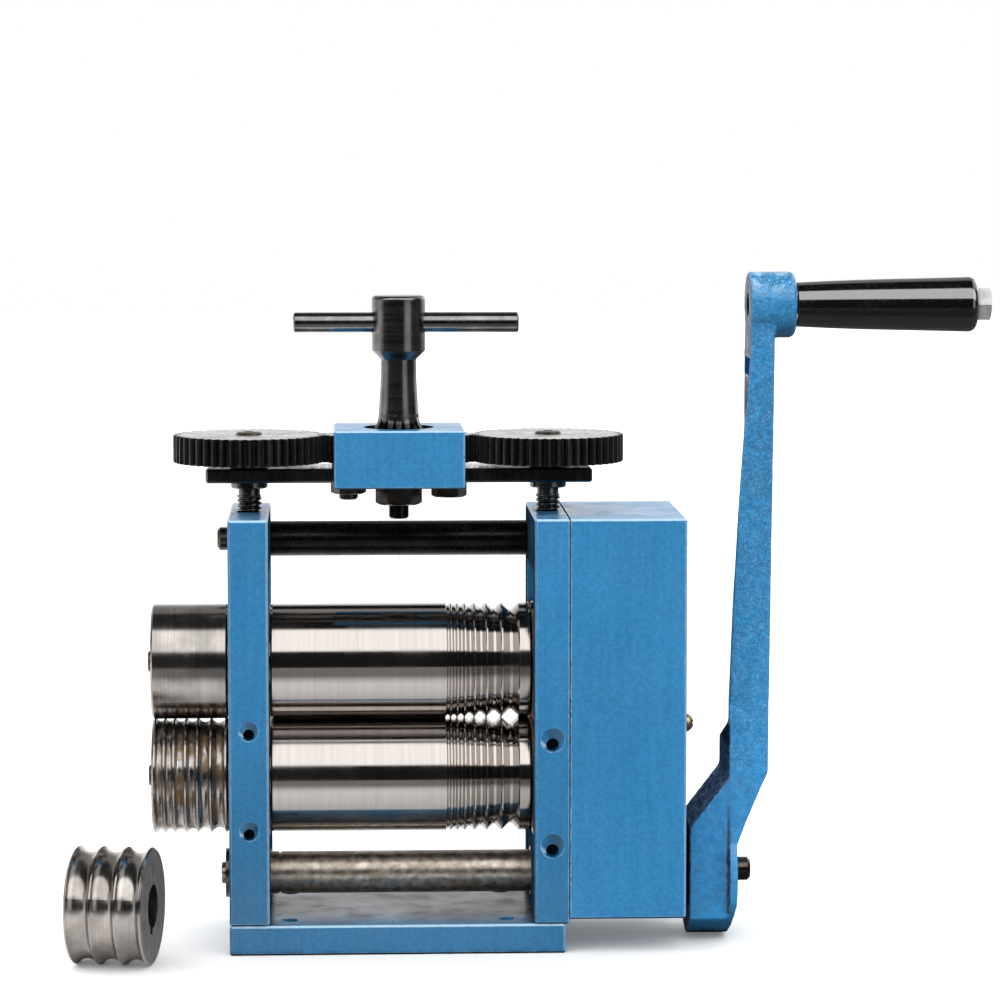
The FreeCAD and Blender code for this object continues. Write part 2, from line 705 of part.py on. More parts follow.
def lift_springs():
    """Four coil springs that hold the upper bearings up against the screws."""
    bottom = lower_roll_z + bearing_half_height - spring_pocket + spring_wire / 2 + seat_clearance
    top = upper_roll_z - bearing_half_height + spring_pocket - spring_wire / 2 - seat_clearance
    radius = spring_diameter / 2
    coil = Part.makeHelix((top - bottom) / spring_turns, top - bottom, radius)
    section = Part.Wire([Part.Circle(Vector(radius, 0, 0), Y_AXIS, spring_wire / 2).toShape()])
    spring = Part.Wire(coil.Edges).makePipeShell([section], True, True)
    springs = []
    for x in (left_mid_x, right_mid_x):
        for y in (-spring_offset_y, spring_offset_y):
            copy = spring.copy()
            copy.translate(Vector(x, y, bottom))
            springs.append(copy)
    return springs


# ---------------------------------------------------------------- rolls
def wire_groove_profile(radius):
    """Points of the barrel's V grooves for square wire, from left to right."""
    points = []
    x = groove_start_x
    for width in groove_widths:
        depth = width * groove_depth_share
        floor = width * groove_floor_share / 2
        middle = x + width / 2
        points += [(x, radius), (middle - floor, radius - depth), (middle + floor, radius - depth),
                   (x + width, radius)]
        x += width + groove_land
    return points


def roller(z, gear_stack_length):
    """Roll with its wire grooves, journals, outboard stub and geared tail, in one piece."""
    barrel_r = roll_diameter / 2
    journal_r = journal_diameter / 2
    stub_r = stub_diameter / 2
    tail_r = roll_shaft_diameter / 2
    thread_r = tail_r - roll_thread_step
    nut_x = journal_right_x + gear_stack_length
    end_x = nut_x + roll_nut_height + roll_tail_past_nut
    bevel = edge_chamfer
    profile = [(stub_end_x, 0), (stub_end_x, stub_r - bevel), (stub_end_x + bevel, stub_r),
               (journal_left_x, stub_r), (journal_left_x, journal_r), (-barrel_half_length, journal_r),
               (-barrel_half_length, barrel_r - bevel), (-barrel_half_length + bevel, barrel_r)]
    profile += wire_groove_profile(barrel_r)
    profile += [(barrel_half_length - bevel, barrel_r), (barrel_half_length, barrel_r - bevel),
                (barrel_half_length, journal_r), (journal_right_x, journal_r), (journal_right_x, tail_r),
                (nut_x, tail_r), (nut_x, thread_r), (end_x - bevel, thread_r), (end_x, thread_r - bevel),
                (end_x, 0)]
    body = turned_x(profile, 0, z)
    body = body.cut(keyway_x(stub_end_x - past, journal_left_x - stub_keyway_inset, stub_r, z))
    body = body.cut(keyway_x(journal_right_x + gear_keyway_inset, nut_x + past, tail_r, z))
    hole_r = end_screw_diameter / 2 + thread_clearance
    hole_end_x = extension_end_x + end_screw_length + tap_past_screw
    return body.cut(rod_x(stub_end_x - past, hole_end_x, hole_r, 0, z))


def half_round_profile(widths, depth_share, land, radius, start_x, length):
    """Points of half round grooves spread evenly over a roller, as arcs, with lands between them."""
    total = sum(widths) + land * (len(widths) - 1)
    x = start_x + (length - total) / 2
    steps = []
    for width in widths:
        depth = width * depth_share
        steps.append((x, radius))
        steps.append(((x + width / 2, radius - depth), (x + width, radius)))
        x += width + land
    return steps


def extension_blank(start_x, z, grooves, y=0.0):
    """Outboard roller: ring with a keyed bore and a shallow recess for the end washer."""
    radius = roll_diameter / 2
    end_x = start_x + extension_length
    bevel = edge_chamfer
    profile = [(start_x, 0), (start_x, radius - bevel), (start_x + bevel, radius)]
    profile += grooves
    profile += [(end_x - bevel, radius), (end_x, radius - bevel), (end_x, 0)]
    ring = turned_x(profile, y, z)
    bore = rod_x(start_x - past, end_x + past, stub_diameter / 2 + seat_clearance, y, z)
    keyway = keyway_x(start_x - past, end_x + past, stub_diameter / 2, z)
    keyway.translate(Vector(0, y, 0))
    recess_r = end_washer_diameter / 2 + seat_clearance
    recess = rod_x(start_x - past, start_x + end_washer_thickness, recess_r, y, z)
    return ring.cut([bore, keyway, recess])


def upper_extension_roller():
    """Plain outboard roller."""
    return extension_blank(extension_end_x, upper_roll_z, [])


def lower_extension_roller():
    """Outboard roller with half round wire grooves."""
    grooves = half_round_profile(extension_groove_widths, round_groove_depth_share, extension_groove_land,
                                 roll_diameter / 2, extension_end_x, extension_length)
    return extension_blank(extension_end_x, lower_roll_z, grooves)


def spare_extension_roller():
    """Loose roller with three wide half round grooves, lying on its side on the bench."""
    radius = roll_diameter / 2
    centre_x = left_outer_x - spare_out_x
    centre_y = front_y - spare_out_y
    start_x = centre_x - extension_length / 2
    grooves = half_round_profile(spare_groove_widths, spare_groove_depth_share, extension_groove_land,
                                 radius, start_x, extension_length)
    ring = extension_blank(start_x, radius, grooves, centre_y)
    ring.rotate(Vector(centre_x, centre_y, radius), X_AXIS, spare_roll_deg)
    ring.rotate(Vector(centre_x, centre_y, 0), Z_AXIS, spare_turn_deg)
    return ring


def roll_keys(z, gear_stack_length):
    """Keys of one roll: under its outboard roller and under its gears."""
    stub_key = key_x(stub_end_x + key_setback, journal_left_x - stub_keyway_inset - key_end_gap,
                     stub_diameter / 2, z)
    gear_key = key_x(journal_right_x + gear_keyway_inset + key_end_gap,
                     journal_right_x + gear_stack_length - key_setback, roll_shaft_diameter / 2, z)
    return [stub_key, gear_key]


def roll_end_washer(z):
    """Washer that lies flush in the outboard roller."""
    washer = rod_x(extension_end_x, extension_end_x + end_washer_thickness, end_washer_diameter / 2, 0, z)
    hole_r = end_screw_diameter / 2 + thread_clearance
    return washer.cut(rod_x(extension_end_x - past, stub_end_x + past, hole_r, 0, z))


def roll_end_screw(z):
    """Low head screw that holds an outboard roller."""
    return cap_screw_x(extension_end_x, 1, end_screw_head_diameter, end_screw_head_height,
                       end_screw_diameter, end_screw_length, 0, z)


def roll_gear(z, first_tooth_deg):
    """Coarse long toothed gear that ties the rolls together."""
    x1 = journal_right_x + roll_gear_width
    gear = gear_x(roll_gear_teeth, roll_gear_module, first_tooth_deg, journal_right_x, x1, z)
    return bored_for_roll(gear, journal_right_x, x1, z)


def bored_for_roll(gear, x0, x1, z):
    """Gear between x0 and x1 with the bore and keyway that fit a roll's tail."""
    bore = rod_x(x0 - past, x1 + past, roll_shaft_diameter / 2 + seat_clearance, 0, z)
    return gear.cut([bore, keyway_x(x0 - past, x1 + past, roll_shaft_diameter / 2, z)])


def drive_gear():
    """Large gear on the lower roll, driven by the crank's pinion."""
    x1 = drive_gear_x + drive_gear_width
    tooth_at = -90 + 180 / drive_gear_teeth
    gear = gear_x(drive_gear_teeth, drive_module, tooth_at, drive_gear_x, x1, lower_roll_z)
    hub_x = drive_gear_x - drive_gear_hub
    hub = rod_x(hub_x, drive_gear_x + past, drive_gear_hub_diameter / 2, 0, lower_roll_z)
    return bored_for_roll(gear.fuse(hub), hub_x, x1, lower_roll_z)


def roll_nut(x0, z):
    """Hexagon nut on a roll's threaded tail."""
    nut = hexagon_x(x0, x0 + roll_nut_height, roll_nut_flats, 0, z)
    thread_r = roll_shaft_diameter / 2 - roll_thread_step + thread_clearance
    return nut.cut(rod_x(x0 - past, x0 + roll_nut_height + past, thread_r, 0, z))


# ---------------------------------------------------------------- crank shaft and gear cover
def shaft_bush(x0, x1, diameter):
    """Plain bronze bush from x0 to x1 for a shaft of that diameter."""
    sleeve = rod_x(x0, x1, diameter / 2 + bush_wall, 0, shaft_z)
    return sleeve.cut(rod_x(x0 - past, x1 + past, diameter / 2 + running_clearance, 0, shaft_z))


def left_shaft_bush():
    """Bush in the left frame, flush with both faces."""
    return shaft_bush(left_outer_x, left_inner_x, shaft_diameter)


def right_shaft_bush():
    """Bush in the right frame, flush with both faces."""
    return shaft_bush(right_inner_x, right_outer_x, shaft_diameter)


def cover_bush():
    """Bush in the gear cover, flanged on the inside and just proud outside."""
    flange_x = cover_inner_x - cover_bush_flange_thickness
    flange_r = shaft_end_diameter / 2 + bush_wall + cover_bush_flange
    bore_r = shaft_end_diameter / 2 + running_clearance
    flange = rod_x(flange_x, cover_inner_x, flange_r, 0, shaft_z)
    flange = flange.cut(rod_x(flange_x - past, cover_inner_x + past, bore_r, 0, shaft_z))
    sleeve = shaft_bush(cover_inner_x, cover_right_x + cover_bush_proud, shaft_end_diameter)
    return sleeve.fuse(flange).removeSplitter()


def drive_shaft():
    """Shaft with the crank pinion cut on it, squared for the crank and tapped at both ends."""
    radius = shaft_diameter / 2
    end_r = shaft_end_diameter / 2
    pinion_x0 = drive_gear_x - pinion_overhang
    pinion_x1 = drive_gear_x + drive_gear_width + pinion_overhang
    end_x = hub_outer_x - crank_clamp_gap
    bevel = edge_chamfer
    groove_x = left_inner_x + shaft_groove_place
    groove_end_x = groove_x + shaft_groove_width
    floor_r = radius - shaft_groove_depth
    body = turned_x([(shaft_left_x, 0), (shaft_left_x, radius - bevel), (shaft_left_x + bevel, radius),
                     (groove_x, radius), (groove_x, floor_r), (groove_end_x, floor_r), (groove_end_x, radius),
                     (pinion_x0, radius), (pinion_x0, end_r), (end_x, end_r), (end_x, 0)], 0, shaft_z)
    body = body.fuse(gear_x(drive_pinion_teeth, drive_module, 90, pinion_x0, pinion_x1, shaft_z))
    half = shaft_square / 2
    for turn in range(4):
        flat = block(hub_inner_x, end_x + past, half, end_r + past, shaft_z - shaft_end_diameter,
                     shaft_z + shaft_end_diameter)
        flat.rotate(Vector(0, 0, shaft_z), X_AXIS, 90 * turn)
        body = body.cut(flat)
    left_tap = rod_x(shaft_left_x - past, shaft_left_x + shaft_screw_length + tap_past_screw,
                     shaft_screw_diameter / 2 + thread_clearance, 0, shaft_z)
    right_tap = rod_x(end_x - crank_screw_length - tap_past_screw, end_x + past,
                      crank_screw_diameter / 2 + thread_clearance, 0, shaft_z)
    return body.cut([left_tap, right_tap])


def shaft_end_washer():
    """Washer that keeps the shaft from moving to the right."""
    washer = rod_x(shaft_left_x - shaft_washer_thickness, shaft_left_x, shaft_washer_diameter / 2, 0, shaft_z)
    return washer.cut(rod_x(shaft_left_x - shaft_washer_thickness - past, shaft_left_x + past,
                            shaft_screw_diameter / 2 + thread_clearance, 0, shaft_z))


def shaft_end_screw():
    """Low head screw on the left end of the shaft."""
    return cap_screw_x(shaft_left_x - shaft_washer_thickness, 1, shaft_screw_head_diameter,
                       shaft_screw_head_height, shaft_screw_diameter, shaft_screw_length, 0, shaft_z)


def gear_cover():
    """Five sided case over the gears, flush with the right frame, open towards it."""
    outer = block(right_outer_x, cover_right_x, front_y, -front_y, cover_bottom_z, frame_top_z)
    rim = [e for e in outer.Edges if e.BoundBox.XMax > right_outer_x + past]
    outer = outer.makeChamfer(edge_chamfer, rim)
    inner = block(right_outer_x - past, cover_inner_x, front_y + cover_wall, -front_y - cover_wall,
                  cover_bottom_z + cover_wall, frame_top_z - cover_wall)
    cover = outer.cut(inner)
    bush_r = shaft_end_diameter / 2 + bush_wall
    cover = cover.cut(rod_x(cover_inner_x - past, cover_right_x + past, bush_r, 0, shaft_z))
    for y in (-cover_screw_y, cover_screw_y):
        hole_r = cover_screw_diameter / 2 + screw_hole_clearance
        cover = cover.cut(rod_x(cover_inner_x - past, cover_right_x + past, hole_r, y, cover_screw_z))
    return cover


def cover_pillars():
    """Two round pillars screwed into the right frame, tapped for the cover screws."""
    pillars = []
    for y in (-cover_screw_y, cover_screw_y):
        pillar = rod_x(right_outer_x, cover_inner_x, pillar_diameter / 2, y, cover_screw_z)
        stud = rod_x(right_outer_x - pillar_stud_length, right_outer_x + past, pillar_stud_diameter / 2,
                     y, cover_screw_z)
        hole = rod_x(cover_inner_x - cover_screw_grip - tap_past_screw, cover_inner_x + past,
                     cover_screw_diameter / 2 + thread_clearance, y, cover_screw_z)
        pillars.append(pillar.fuse(stud).cut(hole))
    return pillars


def cover_screws():
    """Two domed screws with a cross slot that hold the cover."""
    screws = []
    head_r = cover_screw_head_diameter / 2
    shank_r = cover_screw_diameter / 2
    rim_x = cover_right_x + cover_screw_rim
    top_x = cover_right_x + cover_screw_head_height
    tip_x = cover_inner_x - cover_screw_grip
    long_half, short_half = cross_slot_length / 2, cross_slot_width / 2
    for y in (-cover_screw_y, cover_screw_y):
        screw = turned_x([(tip_x, 0), (tip_x, shank_r), (cover_right_x, shank_r), (cover_right_x, head_r),
                          (rim_x, head_r), dome(rim_x, head_r, top_x)], y, cover_screw_z)
        for half_y, half_z in ((short_half, long_half), (long_half, short_half)):
            screw = screw.cut(block(top_x - cross_slot_depth, top_x + past, y - half_y, y + half_y,
                                    cover_screw_z - half_z, cover_screw_z + half_z))
        screws.append(screw)
    return screws


# ---------------------------------------------------------------- crank
def arm_inner_bend():
    """Where the arm's inner face starts to lean outboard."""
    return (arm_foot_x, shaft_z + arm_inner_lean)


def arm_inner_middle():
    """Middle point of the arm's slightly bowed inner face."""
    bend_x, bend_z = arm_inner_bend()
    return ((boss_inner_x + bend_x) / 2 - arm_inner_bow, (boss_pad_z + bend_z) / 2)


def crank_side_outline():
    """Arm seen from the front: it leans outboard above the hub and thins towards the top."""
    low_z = shaft_z - hub_radius
    top_z = grip_z + boss_radius
    lean_x = arm_foot_x + arm_low_thickness
    bend_z = shaft_z + arm_outer_bend
    lean_z = shaft_z + arm_outer_lean
    outer_top_x = boss_inner_x + arm_top_thickness
    blend_x = hub_outer_x + (lean_x - hub_outer_x) * arm_blend_share
    blend = ((blend_x, (bend_z + lean_z) / 2 - arm_blend_sag), (lean_x, lean_z))
    bevel_x, bevel_z = hub_foot_bevel
    return [(arm_foot_x, low_z), (hub_outer_x - bevel_x, low_z), (hub_outer_x, low_z + bevel_z),
            (hub_outer_x, bend_z), blend, (outer_top_x, boss_pad_z), (outer_top_x, top_z),
            (boss_inner_x, top_z), (boss_inner_x, boss_pad_z), (arm_inner_middle(), arm_inner_bend())]


def crank_front_blank():
    """Arm seen along the shaft: round ends joined by a taper, as a thick slab along X."""
    x0, x1 = arm_foot_x - past, boss_outer_x + past
    taper_z = shaft_z + hub_taper_rise
    taper = [(-arm_hub_half_width, taper_z), (arm_hub_half_width, taper_z),
             (arm_top_half_width, grip_z), (-arm_top_half_width, grip_z)]
    face = Part.Face(Part.Wire(outline_edges(taper, lambda p: Vector(x0, p[0], p[1]))))
    slab = face.extrude(X_AXIS * (x1 - x0))
    return slab.fuse([rod_x(x0, x1, hub_radius, 0, shaft_z), rod_x(x0, x1, boss_radius, 0, grip_z)])


def side_slab(outline, half_width):
    """Solid with that outline seen from the front, as wide as twice half_width along Y."""
    face = Part.Face(Part.Wire(outline_edges(outline, lambda p: Vector(p[0], -half_width, p[1]))))
    return face.extrude(Y_AXIS * (2 * half_width))


def arm_draft_cut():
    """Wedge off the arm's inner side, which falls away to the back below the boss's flat pad."""
    far_x = hub_inner_x - past
    foot_z = shaft_z + arm_draft_foot
    outline = [(far_x, foot_z), (arm_foot_x, foot_z), arm_inner_bend(),
               (arm_inner_middle(), (boss_inner_x, boss_pad_z)), (far_x, boss_pad_z)]
    face = Part.Face(Part.Wire(outline_edges(outline, lambda p: Vector(p[0], 0, p[1]))))
    reach = hub_radius + past
    fall = Vector(arm_draft, 1, -arm_draft_drop)
    face.translate(X_AXIS * (arm_draft * arm_draft_start) - fall * reach)
    pad_side = block(far_x, boss_inner_x, -reach, reach, shaft_z, grip_z)
    return face.extrude(fall * (2 * reach)).common(pad_side)


def crank_hub():
    """Hub with a flat front and back, a round underside and a shoulder that slopes up to the arm."""
    end_x = arm_foot_x + past
    top_z = shaft_z + shoulder_top_rise
    outline = [(hub_inner_x, shaft_z - hub_radius), (end_x, shaft_z - hub_radius), (end_x, top_z),
               (arm_foot_x, top_z), (hub_inner_x, shaft_z + shoulder_foot_rise)]
    upper = block(hub_inner_x, end_x, -hub_flat_half_width, hub_flat_half_width, shaft_z, top_z)
    envelope = rod_x(hub_inner_x, end_x, hub_radius, 0, shaft_z).fuse(upper)
    return side_slab(outline, hub_flat_half_width).common(envelope)


def crank_arm():
    """Cast crank: hub with a square bore, leaning arm and grip boss in one piece."""
    arm = side_slab(crank_side_outline(), hub_radius + past).common(crank_front_blank()).cut(arm_draft_cut())
    boss = turned_x([(boss_inner_x, 0), (boss_inner_x, boss_radius), (boss_outer_x - boss_bevel, boss_radius),
                     (boss_outer_x, boss_radius - boss_bevel), (boss_outer_x, 0)], 0, grip_z)
    crank = arm.fuse([boss, crank_hub()]).removeSplitter()
    half = shaft_square / 2 + seat_clearance
    bore = block(hub_inner_x - past, hub_outer_x + past, -half, half, shaft_z - half, shaft_z + half)
    bore = bore.common(rod_x(hub_inner_x - past, hub_outer_x + past, shaft_end_diameter / 2 + seat_clearance,
                             0, shaft_z))
    thread_r = grip_bolt_diameter / 2 + seat_clearance
    return crank.cut([bore, rod_x(boss_inner_x - past, boss_outer_x + past, thread_r, 0, grip_z)])


def crank_washer():
    """Washer over the squared end of the shaft."""
    outer_x = hub_outer_x + crank_washer_thickness
    washer = rod_x(hub_outer_x, outer_x, crank_washer_diameter / 2, 0, shaft_z)
    return washer.cut(rod_x(hub_outer_x - past, outer_x + past, crank_screw_diameter / 2 + thread_clearance,
                            0, shaft_z))


def crank_screw():
    """Socket head screw that holds the crank."""
    return cap_screw_x(hub_outer_x + crank_washer_thickness, -1, cap_head_diameter, cap_head_height,
                       crank_screw_diameter, crank_screw_length, 0, shaft_z)


def handle_grip():
    """Barrel shaped grip that turns on its bolt."""
    small_r, large_r = grip_small_diameter / 2, grip_large_diameter / 2
    swell = ((grip_left_x + grip_length * grip_swell_share, (small_r + large_r) / 2 + grip_swell),
             (grip_right_x - grip_nose_length, large_r))
    nose = ((grip_right_x - grip_nose_bulge[0], large_r - grip_nose_bulge[1]),
            (grip_right_x, large_r - grip_nose_drop))
    grip = turned_x([(grip_left_x, 0), (grip_left_x, small_r - grip_edge), (grip_left_x + grip_edge, small_r),
                     swell, nose, (grip_right_x, 0)], 0, grip_z)
    return grip.cut(rod_x(grip_left_x - past, grip_right_x + past, grip_bolt_diameter / 2 + running_clearance,
                          0, grip_z))


def grip_bolt():
    """Hexagon bolt through the grip into the boss."""
    head_x = grip_right_x + grip_gap
    head = hexagon_x(head_x, head_x + grip_bolt_head_height, hex_small_flats, 0, grip_z)
    return head.fuse(rod_x(boss_inner_x + grip_bolt_short, head_x, grip_bolt_diameter / 2, 0, grip_z))


# ---------------------------------------------------------------- bridge and screw-down
def bridge_bar():
    """Flat bar that carries the whole screw-down gear train."""
    x0, x1 = left_mid_x - bar_overhang, right_mid_x + bar_overhang
    bar = block(x0, x1, -bar_depth / 2, bar_depth / 2, bar_bottom_z, bar_top_z)
    bar = chamfer_box(bar, edge_chamfer)
    journal_r = screw_journal_diameter / 2 + running_clearance
    for x in (left_mid_x, handle_x, right_mid_x):
        bar = bar.cut(rod_z(bar_bottom_z - past, bar_top_z + past, journal_r, x))
    axle_r = idler_axle_diameter / 2 + seat_clearance
    for x in (handle_x - idler_reach, handle_x + idler_reach):
        bar = bar.cut(rod_z(bar_bottom_z - past, bar_top_z + past, axle_r, x))
    return bar


def gear_housing():
    """Block that straddles the bar and covers the middle gears, open at both ends and above the pinion."""
    x0, x1 = handle_x - housing_width / 2, handle_x + housing_width / 2
    bottom_z = bar_bottom_z - housing_skirt
    half_y = housing_depth / 2
    body = chamfer_box(block(x0, x1, -half_y, half_y, bottom_z, housing_top_z), housing_chamfer)
    bar_half = bar_depth / 2 + seat_clearance
    gear_half = tip_radius(idler_teeth, train_module) + housing_side_gap
    channel = block(x0 - past, x1 + past, -bar_half, bar_half, bottom_z - past, bar_top_z)
    cavity = block(x0 - past, x1 + past, -gear_half, gear_half, bar_top_z - past, housing_ceiling_z)
    hole_r = housing_hole_diameter / 2
    opening = rod_z(housing_ceiling_z - past, housing_top_z + past, hole_r, handle_x)
    sink = Part.makeCone(hole_r, hole_r + housing_hole_chamfer, housing_hole_chamfer,
                         Vector(handle_x, 0, housing_top_z - housing_hole_chamfer), Z_AXIS)
    cuts = [channel, cavity, opening, sink]
    axle_r = idler_axle_diameter / 2 + seat_clearance
    for x in (handle_x - idler_reach, handle_x + idler_reach):
        cuts.append(rod_z(housing_ceiling_z - past, axle_top_z + seat_clearance, axle_r, x))
    return body.cut(cuts)


def idler_bolt():
    """Axle of the right idler: a flanged hexagon bolt from below."""
    x = handle_x + idler_reach
    flange_z = bar_bottom_z - idler_flange_height
    head = hexagon_z(flange_z - idler_bolt_head_height, flange_z, hex_small_flats, x, 0)
    flange = rod_z(flange_z, bar_bottom_z, hex_small_flats / 2 + idler_flange_rim, x)
    return head.fuse([flange, rod_z(flange_z, axle_top_z, idler_axle_diameter / 2, x)])


def idler_stud():
    """Axle of the left idler: a plain stud with a threaded tail."""
    x = handle_x - idler_reach
    radius = idler_axle_diameter / 2
    bottom = bar_bottom_z - idler_nut_height - idler_stud_tail
    return turned_z([(bottom, 0), (bottom, radius - tip_bevel), (bottom + tip_bevel, radius),
                     (axle_top_z, radius), (axle_top_z, 0)], x)


def idler_nut():
    """Nut under the bar on the left idler's stud."""
    x = handle_x - idler_reach
    bottom_z = bar_bottom_z - idler_nut_height
    nut = hexagon_z(bottom_z, bar_bottom_z, hex_small_flats, x, 0)
    return nut.cut(rod_z(bottom_z - past, bar_bottom_z + past, idler_axle_diameter / 2 + seat_clearance, x))


def idler_gear(side):
    """Middle gear between the handle's pinion and one screw gear; side is -1 for left, 1 for right."""
    x = handle_x + side * idler_reach
    towards_pinion = 180 if side > 0 else 0
    gear = gear_z(idler_teeth, train_module, towards_pinion + 180 / idler_teeth, gear_bottom_z, gear_top_z, x)
    gear = gear.fuse(rod_z(hub_bottom_z, gear_bottom_z + past, idler_hub_diameter / 2, x))
    bore_r = idler_axle_diameter / 2 + running_clearance
    return gear.cut(rod_z(hub_bottom_z - past, gear_top_z + past, bore_r, x))


def ring_thread(z0, z1, radius):
    """Points of a row of thread crests between two heights."""
    points = []
    count = int((z1 - z0) / pressure_screw_pitch)
    step = (z1 - z0) / count
    rise, crest = step * thread_crest_share, step * thread_crest_share * 2
    for i in range(count):
        low = z0 + i * step
        points += [(low, radius - thread_depth), (low + rise, radius), (low + crest, radius),
                   (low + crest + rise, radius - thread_depth)]
    return points


def gear_seat_round(x, radius, flat_y, z0, z1):
    """Round bar with one flat at its back, as a gear's seat or its bore."""
    flat = block(x - radius - past, x + radius + past, flat_y, radius + past, z0 - past, z1 + past)
    return rod_z(z0, z1, radius, x).cut(flat)


def pressure_screw(x):
    """Screw that presses an upper bearing down: dog point, thread, collar, journal and gear seat."""
    thread_r = pressure_screw_diameter / 2
    dog_r = dog_point_diameter / 2
    neck_r = screw_neck_diameter / 2
    collar_r = screw_collar_diameter / 2
    journal_r = screw_journal_diameter / 2
    seat_r = gear_seat_diameter / 2
    collar_top = bar_bottom_z - side_play
    collar_bottom = collar_top - screw_collar_height
    thread_bottom = screw_tip_z + dog_point_length
    thread_top = collar_bottom - screw_neck_length
    seat_top = gear_top_z - gear_clamp_gap
    profile = [(screw_tip_z, 0), (screw_tip_z, dog_r), (thread_bottom - dog_point_shoulder, dog_r)]
    profile += ring_thread(thread_bottom, thread_top, thread_r)
    profile += [(thread_top, neck_r), (collar_bottom, neck_r), (collar_bottom, collar_r),
                (collar_top, collar_r), (collar_top, journal_r), (hub_bottom_z, journal_r), (hub_bottom_z, 0)]
    seat = gear_seat_round(x, seat_r, seat_r - gear_seat_flat, hub_bottom_z - past, seat_top)
    tap = rod_z(gear_top_z - gear_screw_length - tap_past_screw, seat_top + past,
                gear_screw_diameter / 2 + thread_clearance, x)
    return turned_z(profile, x).fuse(seat).cut(tap)


def screw_gear(side):
    """Large gear on a pressure screw, with a flat in its bore."""
    x = handle_x + side * screw_reach
    towards_idler = 180 if side > 0 else 0
    gear = gear_z(screw_gear_teeth, train_module, towards_idler, gear_bottom_z, gear_top_z, x)
    gear = gear.fuse(rod_z(hub_bottom_z, gear_bottom_z + past, gear_hub_diameter / 2, x))
    radius = gear_seat_diameter / 2 + seat_clearance
    seat = gear_seat_round(x, radius, radius - gear_seat_flat, hub_bottom_z - past, gear_top_z + past)
    return gear.cut(seat)


def gear_screw(side):
    """Flat headed screw that holds a large gear on its screw."""
    x = handle_x + side * screw_reach
    head_r = gear_screw_head_diameter / 2
    shank_r = gear_screw_diameter / 2
    head_top = gear_top_z + gear_screw_head_height
    tip_z = gear_top_z - gear_screw_length
    bevel_height, bevel_width = gear_screw_bevel
    screw = turned_z([(tip_z, 0), (tip_z, shank_r), (gear_top_z, shank_r), (gear_top_z, head_r),
                      (head_top - bevel_height, head_r), (head_top, head_r - bevel_width), (head_top, 0)], x)
    socket_floor = Vector(x, 0, head_top - gear_screw_socket_depth)
    socket = hexagon_face(gear_screw_socket, socket_floor, X_AXIS, Y_AXIS)
    return screw.cut(socket.extrude(Z_AXIS * (gear_screw_socket_depth + past)))


def spindle_body():
    """Everything of the T handle's spindle but its teeth, from the threaded tail to the head."""
    head_r = head_diameter / 2
    neck_r = neck_bottom_diameter / 2
    neck_top_r = neck_top_diameter / 2
    thread_r = handle_thread_diameter / 2
    journal_r = screw_journal_diameter / 2
    core_r = journal_r + spindle_shoulder
    runout_z = housing_top_z + runout_height
    nut_top = bar_bottom_z - side_play
    tail_z = nut_top - handle_nut_height - handle_thread_tail
    core_top_z, core_top_r = runout_z - spindle_core_drop[0], neck_r - spindle_core_drop[1]
    neck = (((runout_z + neck_top_z) / 2, (neck_r + neck_top_r) / 2 - neck_waist), (neck_top_z, neck_top_r))
    edge, edge_middle = head_crown
    crown = ((head_top_z - edge_middle, head_r - edge_middle), (head_top_z, head_r - edge))
    return turned_z([(tail_z, 0), (tail_z, thread_r - tip_bevel), (tail_z + tip_bevel, thread_r),
                     (nut_top, thread_r), (nut_top, journal_r), (hub_bottom_z, journal_r),
                     (hub_bottom_z, core_r), (gear_bottom_z, core_r), (core_top_z, core_top_r),
                     (runout_z, neck_r), neck,
                     (neck_top_z + head_cone, head_r), (head_top_z - edge, head_r), crown, (head_top_z, 0)],
                    handle_x)


def spindle_teeth():
    """Pinion teeth that run out in a flare above the housing."""
    neck_r = neck_bottom_diameter / 2
    pinion_r = tip_radius(handle_pinion_teeth, train_module)
    runout_z = housing_top_z + runout_height
    low_z = gear_bottom_z - past
    teeth = gear_face(handle_pinion_teeth, train_module, 0).extrude(Z_AXIS * (runout_z - low_z))
    teeth.translate(Vector(handle_x, 0, low_z))
    drop, rise = runout_flare
    flare = ((runout_z - drop, neck_r + rise), (runout_z, neck_r))
    outline = [(low_z, 0), (low_z, pinion_r - small_bevel), (low_z + small_bevel, pinion_r),
               (housing_top_z - pinion_straight, pinion_r), flare, (runout_z, 0)]
    return teeth.common(turned_z(outline, handle_x))


def t_handle_spindle():
    """T handle's head, tapered neck, pinion, journal and threaded end, in one piece."""
    reach = head_diameter / 2 + past
    hole = rod_x(handle_x - reach, handle_x + reach, tommy_bar_diameter / 2 + seat_clearance, 0, tommy_bar_z)
    return spindle_body().fuse(spindle_teeth()).cut(hole)


def tommy_bar():
    """Cross bar of the T handle."""
    middle = handle_x + tommy_bar_offset
    radius = tommy_bar_diameter / 2
    x0, x1 = middle - tommy_bar_length / 2, middle + tommy_bar_length / 2
    edge = small_bevel
    return turned_x([(x0, 0), (x0, radius - edge), (x0 + edge, radius), (x1 - edge, radius),
                     (x1, radius - edge), (x1, 0)], 0, tommy_bar_z)


def spindle_nut():
    """Nut under the bar that keeps the T handle down."""
    top_z = bar_bottom_z - side_play
    bottom_z = top_z - handle_nut_height
    nut = hexagon_z(bottom_z, top_z, handle_nut_flats, handle_x, 0)
    bore_r = handle_thread_diameter / 2 + seat_clearance
    return nut.cut(rod_z(bottom_z - past, top_z + past, bore_r, handle_x))


